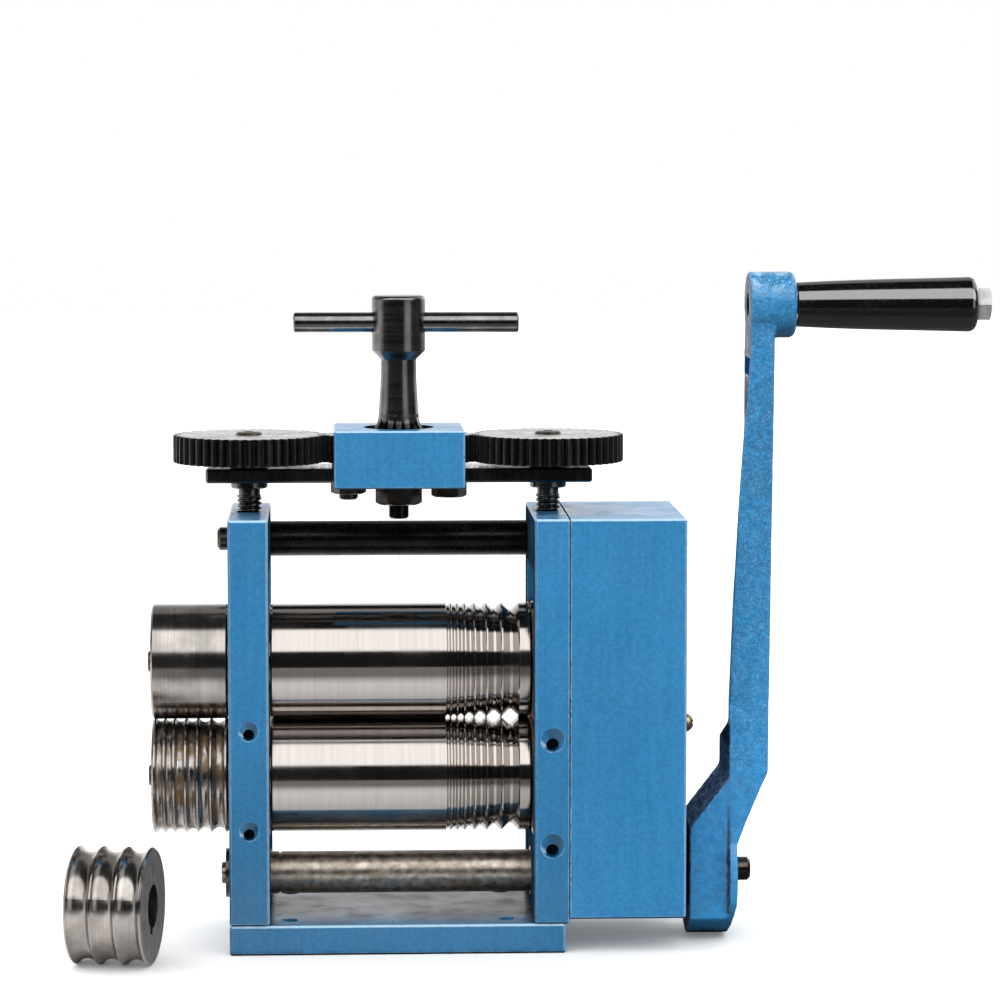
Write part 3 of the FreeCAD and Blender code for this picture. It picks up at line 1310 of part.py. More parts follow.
# ---------------------------------------------------------------- the whole mill
def build():
    """All pieces by node name; a list is a group of like solids."""
    upper_stack = roll_gear_width
    left = (left_inner_x, left_outer_x)
    right = (right_inner_x, right_outer_x)
    return {
        "base_plate": base_plate(),
        "left_side_frame": left_side_frame(),
        "right_side_frame": right_side_frame(),
        "upper_tie_rod": upper_tie_rod(),
        "tie_rod_screws": tie_rod_screws(),
        "frame_foot_screws": frame_foot_screws(),
        "left_lower_bearing": lower_bearing(*left, left_mid_x),
        "right_lower_bearing": lower_bearing(*right, right_mid_x),
        "left_upper_bearing": upper_bearing(*left, left_mid_x),
        "right_upper_bearing": upper_bearing(*right, right_mid_x),
        "pressure_pads": pressure_pads(),
        "lift_springs": lift_springs(),
        "lower_roller": roller(lower_roll_z, lower_stack),
        "upper_roller": roller(upper_roll_z, upper_stack),
        "lower_roll_keys": roll_keys(lower_roll_z, lower_stack),
        "upper_roll_keys": roll_keys(upper_roll_z, upper_stack),
        "lower_roll_gear": roll_gear(lower_roll_z, 90),
        "upper_roll_gear": roll_gear(upper_roll_z, -90 + 180 / roll_gear_teeth),
        "drive_gear": drive_gear(),
        "lower_roll_nut": roll_nut(journal_right_x + lower_stack, lower_roll_z),
        "upper_roll_nut": roll_nut(journal_right_x + upper_stack, upper_roll_z),
        "lower_extension_roller": lower_extension_roller(),
        "upper_extension_roller": upper_extension_roller(),
        "lower_end_washer": roll_end_washer(lower_roll_z),
        "upper_end_washer": roll_end_washer(upper_roll_z),
        "lower_end_screw": roll_end_screw(lower_roll_z),
        "upper_end_screw": roll_end_screw(upper_roll_z),
        "spare_extension_roller": spare_extension_roller(),
        "left_shaft_bush": left_shaft_bush(),
        "right_shaft_bush": right_shaft_bush(),
        "cover_bush": cover_bush(),
        "drive_shaft": drive_shaft(),
        "shaft_end_washer": shaft_end_washer(),
        "shaft_end_screw": shaft_end_screw(),
        "gear_cover": gear_cover(),
        "cover_pillars": cover_pillars(),
        "cover_screws": cover_screws(),
        "crank_arm": crank_arm(),
        "crank_washer": crank_washer(),
        "crank_screw": crank_screw(),
        "handle_grip": handle_grip(),
        "grip_bolt": grip_bolt(),
        "bridge_bar": bridge_bar(),
        "gear_housing": gear_housing(),
        "idler_bolt": idler_bolt(),
        "idler_stud": idler_stud(),
        "idler_nut": idler_nut(),
        "left_idler_gear": idler_gear(-1),
        "right_idler_gear": idler_gear(1),
        "left_pressure_screw": pressure_screw(left_mid_x),
        "right_pressure_screw": pressure_screw(right_mid_x),
        "left_screw_gear": screw_gear(-1),
        "right_screw_gear": screw_gear(1),
        "left_gear_screw": gear_screw(-1),
        "right_gear_screw": gear_screw(1),
        "t_handle_spindle": t_handle_spindle(),
        "tommy_bar": tommy_bar(),
        "spindle_nut": spindle_nut(),
    }


def export(pieces):
    """Writes each node and prints its solids and volume."""
    os.makedirs("parts", exist_ok=True)
    for name, shape in pieces.items():
        solids = []
        for item in shape if isinstance(shape, list) else [shape]:
            solids += item.Solids
        whole = solids[0] if len(solids) == 1 else Part.makeCompound(solids)
        whole.exportStep("parts/" + name + ".step")
        state = "valid" if whole.isValid() else "NOT VALID"
        print(name, len(solids), "solids", round(whole.Volume, 1), "mm3", state)


export(build())
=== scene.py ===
import math

import bmesh
import bpy
import numpy as np
from bpy.props import FloatProperty, FloatVectorProperty, IntProperty, PointerProperty
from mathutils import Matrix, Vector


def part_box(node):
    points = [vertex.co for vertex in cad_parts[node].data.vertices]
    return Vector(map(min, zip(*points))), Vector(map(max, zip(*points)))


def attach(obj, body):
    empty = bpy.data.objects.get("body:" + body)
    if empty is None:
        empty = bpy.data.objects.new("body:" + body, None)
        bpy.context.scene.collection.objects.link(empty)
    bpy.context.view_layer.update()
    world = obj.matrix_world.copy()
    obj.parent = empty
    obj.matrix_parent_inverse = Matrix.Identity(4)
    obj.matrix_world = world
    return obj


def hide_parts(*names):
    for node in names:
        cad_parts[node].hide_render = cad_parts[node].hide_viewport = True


bl_info = {
    "name": "Jewellers rolling mill",
    "version": (1, 0, 0),
    "blender": (4, 5, 0),
    "location": "3D View > Sidebar > Mill",
    "description": "Dresses the packed rolling mill with its enamel, steels, cast crank, threads and grip",
    "category": "Object",
}

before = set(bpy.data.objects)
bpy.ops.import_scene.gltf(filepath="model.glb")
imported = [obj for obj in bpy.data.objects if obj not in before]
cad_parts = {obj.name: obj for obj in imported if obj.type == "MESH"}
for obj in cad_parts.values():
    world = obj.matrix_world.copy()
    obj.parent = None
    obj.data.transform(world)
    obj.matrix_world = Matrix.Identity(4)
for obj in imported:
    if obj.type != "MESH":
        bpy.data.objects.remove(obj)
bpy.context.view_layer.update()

MM = 0.001

# directions: the crank is on the right
RIGHT, LEFT = (1.0, 0.0, 0.0), (-1.0, 0.0, 0.0)
FRONT = (0.0, -1.0, 0.0)
UP, DOWN = (0.0, 0.0, 1.0), (0.0, 0.0, -1.0)

# tints that show in small places, beside the colours in the sidebar
PAINT_DUST = (0.36, 0.42, 0.47)
STEEL_DUST = (0.25, 0.24, 0.22)
BEVEL_SHADE = (0.004, 0.03, 0.075)
# dark of the frames' faces that look at the rolls
INNER_SIDE_DARK = (0.018, 0.05, 0.085)
# painted glints on the cast arm
PAINTED_GLINT = (0.5, 0.72, 0.86)
# painted highlight on the boss's top
BOSS_TOP_HIGHLIGHT = (0.5, 0.68, 0.8)
CAST_PIT = (0.012, 0.07, 0.17)
# painted shade under the cast arm
CAST_UNDERSIDE_SHADE = (0.01, 0.06, 0.12)
PAD_IRON = (0.21, 0.22, 0.28)
# dark paint across the pad, also the painted shade of the arm's inward faces
PAD_PAINT_AND_SHADE = (0.008, 0.034, 0.09)
RUBBED_IRON = (0.1, 0.14, 0.21)
# painted highlight along the rolls' edges
ROLL_EDGE_HIGHLIGHT = (0.9, 0.88, 0.86)
TURNED_FACE = (0.165, 0.155, 0.145)
SHAFT_FILM = (0.25, 0.2, 0.145)
GEAR_SPOTS = (0.07, 0.068, 0.066)
GEAR_EDGE = (0.46, 0.46, 0.46)
# soiling with painted shade on small metal parts
SCREW_DIRT_AND_SHADE = (0.01, 0.009, 0.008)
GRIP_SCUFF = (0.05, 0.05, 0.052)


def middle(node):
    """Centre of a CAD node's box, in metres."""
    low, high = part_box(node)
    return (low + high) / 2


def colour(name, description, default):
    """Colour property with the way of showing that every finish uses."""
    return FloatVectorProperty(name=name, description=description, default=default, subtype="COLOR",
                               size=3, min=0.0, max=1.0)


def length(name, description, default):
    """Length property in metres."""
    return FloatProperty(name=name, description=description, default=default, unit="LENGTH", min=0.0,
                         precision=5)


def angle(name, description, default):
    """Angle property in radians."""
    return FloatProperty(name=name, description=description, default=default, unit="ROTATION")


# ---- what a user may change
class MillSizes(bpy.types.PropertyGroup):
    """Sizes of the pieces that are made here and of the studio."""

    thread_pitch: length("Thread pitch", "Rise of one turn of a pressure screw", 2 * MM)
    thread_depth: length("Thread depth", "Depth of a pressure screw's thread", 1 * MM)
    cast_voxel: length("Cast detail", "Finest form kept on the cast crank arm", 0.85 * MM)
    cast_lump_depth: length("Cast unevenness", "How far the cast faces of the arm dip", 0.16 * MM)
    grip_swell: length("Grip swell", "Swell of the grip over a straight taper", 0.5 * MM)
    grip_sides: IntProperty(name="Grip sides", description="Faces around the grip", default=128, min=24)
    # also the width of the painted highlight along the edges
    wear_width: length("Edge wear", "Width of the thin paint along an edge", 0.8 * MM)
    # reach of the painted shade in holes and corners, as well as of the soiling
    dirt_and_shade_reach: length("Dirt", "How far dirt reaches out of a hole or corner", 4.5 * MM)
    floor_half: length("Floor", "How far the floor reaches to the sides and the back", 6.0)
    floor_front: length("Floor's front", "How far the floor reaches towards the camera", 1.0)
    camera_focal: FloatProperty(name="Lens", description="Focal length on a 36 mm sensor", unit="CAMERA",
                                default=137.418)
    camera_place: FloatVectorProperty(name="Camera place", description="Where the camera stands",
                                      default=(-0.027785, -1.601417, 0.336087), unit="LENGTH")
    camera_pitch: angle("Camera pitch", "How far the camera looks down", 0.0935)
    camera_yaw: angle("Camera yaw", "How far the camera looks towards the crank", 0.0437)


class MillColours(bpy.types.PropertyGroup):
    """Base colours of the finishes."""

    enamel: colour("Enamel", "Machine enamel on the frames, cover, base and housing", (0.02, 0.197, 0.425))
    # also the painted highlight along edges and on bevels that look up
    thin_enamel_and_highlight: colour("Thin enamel", "Enamel where it is thin, along the edges", (0.5, 0.73, 0.88))
    bare_iron: colour("Bare iron", "Iron where paint is chipped or a face is machined", (0.18, 0.18, 0.185))
    roll_steel: colour("Roll steel", "Ground and polished roll steel", (0.45, 0.418, 0.395))
    stain: colour("Stain", "Brown film left in the grooves of the outboard rollers", (0.2, 0.125, 0.06))
    shaft_steel: colour("Shaft steel", "Bare shaft, slightly oiled", (0.47, 0.425, 0.375))
    oxide: colour("Black oxide", "Blackened steel of the screw-down train", (0.135, 0.133, 0.13))
    # this near-black is also the painted shade in holes, corners and bores
    grime_and_shade: colour("Dirt", "Old grease and dirt in holes and corners", (0.006, 0.006, 0.007))
    gear_top: colour("Gear face", "Machined upper faces of the gears", (0.56, 0.55, 0.545))
    dark_screw: colour("Dark screw", "Oiled dark screws and nuts", (0.105, 0.088, 0.074))
    worn_screw: colour("Worn screw", "Screws worn bright", (0.28, 0.245, 0.2))
    grip_bolt: colour("Grip bolt", "Plated bolt of the grip", (0.45, 0.45, 0.44))
    zinc: colour("Zinc", "Bright plated washers and nuts", (0.66, 0.66, 0.64))
    brass: colour("Passivated screw", "Yellow passivated screw heads", (0.62, 0.47, 0.26))
    bronze: colour("Bronze", "Bearing bronze", (0.6, 0.38, 0.18))
    hardened: colour("Hardened steel", "Keys and pressure pads", (0.4, 0.4, 0.42))
    spring: colour("Spring wire", "Lift springs", (0.24, 0.23, 0.22))
    greased: colour("Greased steel", "Gears under the cover", (0.3, 0.3, 0.31))
    plastic: colour("Grip plastic", "Moulded grip", (0.0015, 0.0015, 0.0017))
    floor: colour("Floor", "Studio floor", (0.88, 0.88, 0.88))


# ---- shader nodes
class Shading:
    """Shader nodes of one tree. place is the output that its patterns are laid out by."""

    def __init__(self, tree, place=None):
        self.tree = tree
        self.place = place

    def plug(self, socket, value):
        """Links an output to the socket or sets the socket's constant; a colour becomes opaque."""
        if isinstance(value, bpy.types.NodeSocket):
            self.tree.links.new(value, socket)
        elif socket.type == "RGBA":
            socket.default_value = (*value, 1.0)
        else:
            socket.default_value = value

    def node(self, kind, inputs=None, **settings):
        """Adds a node and returns its outputs. inputs maps a socket to what feeds it or to its value."""
        made = self.tree.nodes.new(kind)
        for name, value in settings.items():
            setattr(made, name, value)
        for key, value in (inputs or {}).items():
            self.plug(made.inputs[key], value)
        return made.outputs

    def math(self, operation, *values):
        """Output of a Math node over one or two values."""
        return self.node("ShaderNodeMath", dict(enumerate(values)), operation=operation)[0]

    def chain(self, operation, first, *others):
        """Output of an operation over any number of values, taken one after the other."""
        for other in others:
            first = self.math(operation, first, other)
        return first

    def times(self, *values):
        """Product of the values."""
        return self.chain("MULTIPLY", *values)

    def plus(self, *values):
        """Sum of the values."""
        return self.chain("ADD", *values)

    def most(self, *values):
        """Largest of the values."""
        return self.chain("MAXIMUM", *values)

    def rest(self, value):
        """What the value leaves of one."""
        return self.math("SUBTRACT", 1.0, value)

    def vector_math(self, operation, *vectors):
        """Outputs of a Vector Math node over one or two vectors."""
        return self.node("ShaderNodeVectorMath", dict(enumerate(vectors)), operation=operation)

    def dot(self, first, second):
        """Dot product of two vectors."""
        return self.vector_math("DOT_PRODUCT", first, second)["Value"]

    def scaled(self, tint, share):
        """A colour times a value."""
        return self.node("ShaderNodeVectorMath", {0: tint, "Scale": share}, operation="SCALE")[0]

    def spread(self, value, low, high, to_low=0.0, to_high=1.0):
        """Maps value from low..high to to_low..to_high, smoothly and clamped."""
        return self.node("ShaderNodeMapRange", {0: value, 1: low, 2: high, 3: to_low, 4: to_high},
                         interpolation_type="SMOOTHSTEP")[0]

    def step(self, value, level, start, end, to_low=0.0, to_high=1.0):
        """Maps a length from start to end, in mm past a level, to to_low..to_high."""
        return self.spread(value, level + start * MM, level + end * MM, to_low, to_high)

    def fit(self, value, to_low, to_high):
        """Maps a share from nothing to one to to_low..to_high."""
        return self.spread(value, 0.0, 1.0, to_low, to_high)

    def mix(self, factor, first, second):
        """Goes from the first colour to the second with the factor."""
        return self.node("ShaderNodeMix", {0: factor, 6: first, 7: second}, data_type="RGBA")[2]

    def parts(self, vector=None):
        """X, Y and Z of a vector, or of the place."""
        return self.node("ShaderNodeSeparateXYZ", {0: vector or self.place})

    def off_axis(self, first, second, axis):
        """Distance of two coordinates from the axis that stands at those two coordinates."""
        offsets = {0: self.math("SUBTRACT", first, axis[0]), 1: self.math("SUBTRACT", second, axis[1])}
        return self.vector_math("LENGTH", self.node("ShaderNodeCombineXYZ", offsets)[0])["Value"]

    def flat_normal(self):
        """The surface's own normal, before bump and bevel."""
        return self.node("ShaderNodeNewGeometry")["Normal"]

    def noise(self, scale, detail, vector=None, **more):
        """Fractal noise round one half, by the place or by another vector."""
        inputs = {"Vector": vector or self.place, "Scale": scale, "Detail": detail, **more}
        return self.node("ShaderNodeTexNoise", inputs)["Fac"]

    def bump(self, height, distance):
        """Normal with that height field raised by distance in metres."""
        return self.node("ShaderNodeBump", {"Height": height, "Distance": distance})[0]

    def effect(self, name, **values):
        """Places a shared node group, built when it is first used."""
        group = bpy.data.node_groups.get(name) or effect_group(name)
        inputs = {label.replace("_", " "): value for label, value in values.items()}
        return self.node("ShaderNodeGroup", {"Vector": self.place, **inputs}, node_tree=group)[0]

    def grain(self, scale, detail, low=0.0, high=1.0):
        """Noise of that scale and detail, between low and high."""
        return self.effect("grain", Scale=scale, Detail=detail, Low=low, High=high)

    def lines(self, *stretch):
        """Tool lines, with how quickly they change along X, Y and Z."""
        return self.effect("turned_lines", Stretch=stretch)

    def edge(self, width, patch_scale, patchiness):
        """Edges of that width, for worn paint and for painted highlight, broken up into patches."""
        return self.effect("edge_wear_and_highlight", Width=width, Patch_Scale=patch_scale, Patchiness=patchiness)

    def facing(self, axis, low, high):
        """Faces that look along the axis, by the share of it from low to high."""
        return self.effect("facing", Axis=axis, Low=low, High=high)


def edge_wear_and_highlight(group, given):
    """Mask of edges, for wear and for painted highlight: where a rounded normal leaves the flat one, broken
    up by noise.
    """
    rounded = group.node("ShaderNodeBevel", {"Radius": given["Width"]}, samples=6)[0]
    edge = group.spread(group.dot(rounded, group.flat_normal()), 0.992, 0.9)
    patches = group.spread(group.noise(given["Patch Scale"], 4.0), 0.38, 0.62)
    return group.times(edge, group.rest(group.times(group.rest(patches), given["Patchiness"])))


def grain(group, given):
    """Value that varies by fractal noise between two given values."""
    return group.spread(group.noise(given["Scale"], given["Detail"]), 0.3, 0.7, given["Low"], given["High"])


def turned_lines(group, given):
    """Fine tool lines across an axis: noise that changes quickly along it and slowly around it."""
    stretched = group.vector_math("MULTIPLY", given["Vector"], given["Stretch"])[0]
    return group.spread(group.noise(1.0, 3.0, stretched, Roughness=0.6), 0.3, 0.7)


def dust(group, given):
    """Mask of dust and dried oil: on faces that look up, in soft patches."""
    level = group.spread(group.parts(group.flat_normal())["Z"], 0.55, 0.98)
    patches = group.spread(group.noise(given["Scale"], 5.0), 0.48, 0.72)
    return group.times(level, patches, given["Amount"])


def grime_and_shade(group, given):
    """Mask of soiling and painted shade in holes, seams and corners: where near faces shade a point, broken
    up by noise.
    """
    open_sky = group.node("ShaderNodeAmbientOcclusion", {"Distance": given["Reach"]}, samples=6)["AO"]
    uneven = group.spread(group.noise(given["Scale"], 4.0), 0.3, 0.7, -0.07, 0.07)
    return group.spread(group.plus(open_sky, uneven), 0.72, 0.4)


def facing(group, given):
    """How squarely a face looks along an axis: the flat normal's share of it, from low to high."""
    return group.spread(group.dot(group.flat_normal(), given["Axis"]), given["Low"], given["High"])


# shared effects: what builds their nodes, their output, and their inputs' defaults
EFFECTS = {
    "edge_wear_and_highlight": (edge_wear_and_highlight, "Mask", {"Width": 0.7 * MM, "Patch Scale": 260.0, "Patchiness": 0.6}),
    "grain": (grain, "Value", {"Scale": 100.0, "Detail": 4.0, "Low": 0.0, "High": 1.0}),
    "turned_lines": (turned_lines, "Lines", {"Stretch": (1.0, 1.0, 1.0)}),
    "dust": (dust, "Mask", {"Scale": 60.0, "Amount": 0.3}),
    "grime_and_shade": (grime_and_shade, "Mask", {"Reach": 4.5 * MM, "Scale": 300.0}),
    "facing": (facing, "Mask", {"Axis": UP, "Low": 0.7, "High": 0.95}),
}


def effect_group(name):
    """Node group of a shared effect, with named inputs and one output."""
    maker, result, defaults = EFFECTS[name]
    group = bpy.data.node_groups.new(name, "ShaderNodeTree")
    group.interface.new_socket(name="Vector", in_out="INPUT", socket_type="NodeSocketVector")
    for label, default in defaults.items():
        kind = "NodeSocketVector" if isinstance(default, tuple) else "NodeSocketFloat"
        socket = group.interface.new_socket(name=label, in_out="INPUT", socket_type=kind)
        socket.default_value = default
    group.interface.new_socket(name=result, in_out="OUTPUT", socket_type="NodeSocketFloat")
    given = group.nodes.new("NodeGroupInput").outputs
    shading = Shading(group, given["Vector"])
    shading.node("NodeGroupOutput", {result: maker(shading, given)})
    return group


class Finish(Shading):
    """New material by Object coordinates, with its Principled shader's constants and the sidebar's values."""

    def __init__(self, name, **constants):
        self.colours, self.sizes = bpy.context.scene.mill_colours, bpy.context.scene.mill_sizes
        self.material = bpy.data.materials.new(name)
        self.material.use_nodes = True
        super().__init__(self.material.node_tree)
        self.place = self.node("ShaderNodeTexCoord")["Object"]
        self.feed(**constants)

    def feed(self, **sources):
        """Plugs outputs or constants into the shader's sockets and returns the material."""
        shader = self.tree.nodes["Principled BSDF"]
        for label, source in sources.items():
            self.plug(shader.inputs[label.replace("_", " ")], source)
        return self.material

    def dirt_and_shade(self, reach, scale):
        """Soiling and painted shade that reach that far out of holes and corners."""
        return self.effect("grime_and_shade", Reach=reach, Scale=scale)


# ---- finishes
def enamel(name="blue_enamel", foot_shade=1.0, worn_top=None, bore=None, inner_side=None, tone=1.0):
    """Smooth machine enamel: orange peel, chips, dust, thin paint and painted highlight on edges, soiling,
    painted shade.

    foot_shade is the paint's tone near the floor, painted shade that darkens it downwards; tone is its tone
    throughout.
    worn_top holds the Y of the front edge and of the line behind which an upper face is worn bare.
    bore holds the X of an upright bore's axis and its radius; in its mouth the paint gives way to near-black,
    dull painted shade.
    inner_side points out of the face that looks at the rolls, which is made dark and dull.
    """
    skin = Finish(name, Coat_Roughness=0.12)
    x, y, z = skin.parts()
    # faces that lose their gloss: the bore's painted shade and the dark side towards the rolls
    dark_dull_faces = []
    streak = skin.fit(skin.lines(420, 420, 22), 0.96, 1.04)
    # painted shade: the paint darkens towards the floor
    low_shade = skin.step(z, 0, 10, 130, foot_shade, 1)
    uneven = skin.times(skin.grain(620, 4, 0.9, 1.1), streak, skin.grain(14, 3, 0.94, 1.04), low_shade)
    paint = skin.scaled([tone * part for part in skin.colours.enamel], uneven)
    edge = skin.edge(skin.sizes.wear_width, 190, 0.55)
    # thin paint and painted highlight along the edges; painted highlight where bevels and sinks seen from the
    # front look up, painted shade where they look down
    frontal = skin.facing(FRONT, 0.3, 0.55)
    skyward = skin.facing((0.5, 0.0, 0.87), 0.15, 0.6)
    floorward = skin.facing((-0.4, 0.0, -0.92), 0.1, 0.55)
    pale = skin.most(edge, skin.times(frontal, skyward))
    thin = skin.mix(skin.times(pale, 0.7), paint, skin.colours.thin_enamel_and_highlight)
    shaded = skin.mix(skin.times(frontal, floorward, 0.8), thin, BEVEL_SHADE)
    chips = skin.times(edge, skin.spread(skin.grain(420, 6, -2.2, 1.6), 0.35, 0.9))
    dust_mask = skin.effect("dust", Scale=75.0, Amount=0.3)
    base = skin.mix(dust_mask, skin.mix(chips, shaded, skin.colours.bare_iron), PAINT_DUST)
    metal = skin.times(chips, 0.8)
    rough = skin.grain(45, 4, 0.26, 0.36)
    if worn_top:
        worn = skin.spread(y, *worn_top, 0.15, 1.0)
        patches = skin.grain(48, 6, -0.25, 0.2)
        bare = skin.fit(skin.times(skin.facing(UP, 0.9, 0.98), skin.plus(worn, patches)), 0.0, 1.0)
        oily = skin.step(x, 0, -5, 45, 1, 0.62)
        mottle = skin.times(skin.grain(130, 6, 0.7, 1.15), oily)
        base = skin.mix(bare, base, skin.scaled(skin.colours.bare_iron, mottle))
        metal = skin.most(metal, skin.times(bare, 0.85))
        rough = skin.plus(rough, skin.times(bare, 0.1))
    if bore:
        bore_x, bore_radius = bore
        reach = skin.off_axis(x, y, (bore_x, 0.0))
        inside = skin.step(reach, bore_radius, 0.3, 0.1)
        # painted shade: inside the bore's mouth the paint is near-black and dull
        base = skin.mix(inside, base, skin.colours.grime_and_shade)
        dark_dull_faces.append(inside)
    if inner_side:
        inside = skin.facing(inner_side, 0.9, 0.98)
        # the face towards the rolls is made dark and dull
        base = skin.mix(inside, base, skin.scaled(INNER_SIDE_DARK, skin.grain(70, 6, 0.55, 1.3)))
        dark_dull_faces.append(inside)
    # soiling with painted shade in holes, seams and corners
    dirt_and_shade = skin.dirt_and_shade(skin.sizes.dirt_and_shade_reach, 260)
    clean = skin.times(*(skin.rest(mask) for mask in (dirt_and_shade, *dark_dull_faces)))
    peel = skin.plus(skin.times(skin.grain(520, 2), 0.35), skin.grain(110, 1))
    return skin.feed(Base_Color=skin.mix(skin.times(dirt_and_shade, 0.95), base, skin.colours.grime_and_shade), Metallic=metal,
                     Roughness=skin.plus(rough, skin.times(dust_mask, 0.6), skin.times(dirt_and_shade, 0.4)),
                     Specular_IOR_Level=skin.times(clean, 0.45), Coat_Weight=skin.times(clean, 0.18),
                     Normal=skin.bump(peel, 0.012 * MM))


def sandy_paint(skin, height, shoulder_z, top_z):
    """Colour and relief of thick paint over a sandy casting: speckled, with painted glints, pitted, with
    painted shade beneath.

    The machined hub, under the shoulder, is smoother; it and the arm's lower part are brightened by painted
    light, and the boss's top has pale painted highlight.
    """
    cast = skin.step(height, shoulder_z, -40, 0, 0.35, 1)
    # painted light: the hub and the arm's lower part are made lighter
    lift = skin.step(height, shoulder_z, -45, 85, 1.28, 1)
    sand = skin.grain(760, 3, -0.2, 0.2)
    speckle = skin.times(skin.plus(skin.times(sand, cast), 1.0), lift, skin.grain(22, 4, 0.92, 1.05),
                         skin.grain(290, 4, 0.86, 1.12))
    edge = skin.edge(1.6 * skin.sizes.wear_width, 150, 0.8)
    paint = skin.scaled(skin.colours.enamel, speckle)
    # paler along the edges: thin paint with painted highlight
    tint = skin.mix(skin.times(edge, 0.24), paint, skin.colours.thin_enamel_and_highlight)
    upward = skin.facing(UP, 0.3, 0.85)
    # painted glints, most on the cast faces that look up
    glint = skin.spread(skin.grain(1250, 2, -2.3, 1.15), 0.4, 0.95, 0.0, 0.5)
    painted_glints = skin.times(glint, skin.fit(upward, 0.3, 1.0), cast)
    tint = skin.mix(painted_glints, tint, PAINTED_GLINT)
    # painted highlight: pale patches along the boss's top
    top_highlight = skin.times(skin.step(height, top_z, -9, -3), skin.grain(170, 5, -0.9, 1.1))
    tint = skin.mix(skin.fit(top_highlight, 0.0, 0.5), tint, BOSS_TOP_HIGHLIGHT)
    cells = skin.node("ShaderNodeTexVoronoi", {"Vector": skin.place, "Scale": 430.0, "Randomness": 1.0})
    pit = skin.spread(cells["Distance"], 0.26, 0.05)
    tint = skin.mix(skin.times(pit, skin.fit(upward, 0.22, 0.8)), tint, CAST_PIT)
    # painted shade on faces that look down
    tint = skin.mix(skin.times(skin.facing(DOWN, 0.2, 0.8), 0.75), tint, CAST_UNDERSIDE_SHADE)
    return tint, skin.plus(skin.times(sand, 4.0), skin.times(pit, -1.2))


def ground_pad(skin, height, sideways, pad_heights):
    """Masks of the pad that the grip's bolt pulls against: its ground iron, and the dark paint left across it
    with painted shade on the inward faces round it.
    """
    foot_z, band_foot_z, band_top_z, top_z = pad_heights
    inward = skin.facing(LEFT, 0.8, 0.95)
    on_pad = skin.times(inward, skin.step(height, foot_z, -4, 4), skin.step(height, top_z, 0, -1))
    in_band = skin.times(skin.step(height, band_foot_z, -1, 1), skin.step(height, band_top_z, 1, -1))
    unground = skin.times(in_band, skin.step(sideways, 0, -16, -9))
    # painted shade on the arm's inward faces off the pad
    inward_shade = skin.times(skin.math("SUBTRACT", inward, on_pad), 0.65)
    return skin.times(on_pad, skin.rest(unground)), skin.most(inward_shade, skin.times(on_pad, unground))


def hammered(pad_heights, shoulder_z, bolt_axis):
    """Thick enamel over a sandy casting, ground bare on the grip's pad and rubbed above the hub.

    pad_heights holds the foot, the unground band's foot and top, and the top of the pad's bare face.
    shoulder_z is the top of the rubbed face above the hub's shoulder.
    bolt_axis holds the Y and Z of the grip's bolt, whose hole is painted near-black as shade.
    """
    skin = Finish("cast_enamel", Coat_Roughness=0.12)
    _, sideways, height = skin.parts()
    tint, relief = sandy_paint(skin, height, shoulder_z, pad_heights[-1])
    bare, paint_band_and_shade = ground_pad(skin, height, sideways, pad_heights)
    band_foot_z = pad_heights[1]
    scratch = skin.fit(skin.lines(300, 1500, 260), 0.45, 1.15)
    lower_tone = skin.step(height, band_foot_z, -4, 0, 0.3, 1)
    iron = skin.scaled(PAD_IRON, skin.times(skin.grain(170, 6, 0.55, 1.05), scratch, lower_tone))
    # dark paint across the pad, with painted shade on the inward faces
    tint = skin.mix(paint_band_and_shade, skin.mix(bare, tint, iron), PAD_PAINT_AND_SHADE)
    rubbed = skin.times(skin.facing(LEFT, 0.35, 0.7), skin.step(height, shoulder_z, 2, -2))
    lower = skin.step(height, shoulder_z, -8, -14)
    rub_tone = skin.times(skin.grain(420, 6, 0.2, 1.4), skin.fit(lower, 0.3, 1.0))
    tint = skin.mix(skin.times(rubbed, 0.95), tint, skin.scaled(RUBBED_IRON, rub_tone))
    # painted shade: the bolt's hole is near-black
    hole = skin.step(skin.off_axis(sideways, height, bolt_axis), 0, 5.6, 4.8)
    dirt_and_shade = skin.most(skin.dirt_and_shade(skin.sizes.dirt_and_shade_reach, 300), hole)
    dulled = skin.most(dirt_and_shade, rubbed, paint_band_and_shade, skin.times(bare, 0.9))
    clean = skin.rest(dulled)
    polish = skin.step(height, band_foot_z, -1, 0, 0, 0.3)
    return skin.feed(Base_Color=skin.mix(skin.times(dirt_and_shade, 0.95), tint, skin.colours.grime_and_shade),
                     Roughness=skin.plus(skin.grain(160, 4, 0.22, 0.38), skin.times(dulled, 0.3)),
                     Metallic=skin.times(bare, polish), Specular_IOR_Level=skin.times(clean, 0.5),
                     Coat_Weight=skin.times(clean, 0.28), Normal=skin.bump(relief, 0.05 * MM))


def roll_steel():
    """Ground roll: mirror polish with fine lines around it, faint smears of oil and painted highlight on its
    edges.
    """
    skin = Finish("ground_roll_steel", Metallic=1.0, Anisotropic=0.35)
    lines = skin.lines(5200, 30, 30)
    bands = skin.lines(420, 12, 12)
    smear = skin.spread(skin.grain(38, 5), 0.2, 0.9, 0.05, 0.1)
    tone = skin.plus(skin.times(bands, 0.07), 0.86, skin.times(lines, 0.1))
    # painted highlight: the roll's edges are lighter
    edge = skin.times(skin.edge(0.5 * MM, 300, 0.3), 0.5)
    tangent = skin.node("ShaderNodeTangent", direction_type="RADIAL", axis="X")[0]
    return skin.feed(Base_Color=skin.mix(edge, skin.scaled(skin.colours.roll_steel, tone), ROLL_EDGE_HIGHLIGHT),
                     Roughness=skin.plus(skin.times(lines, 0.05), smear), Tangent=tangent,
                     Normal=skin.bump(lines, 0.0012 * MM))


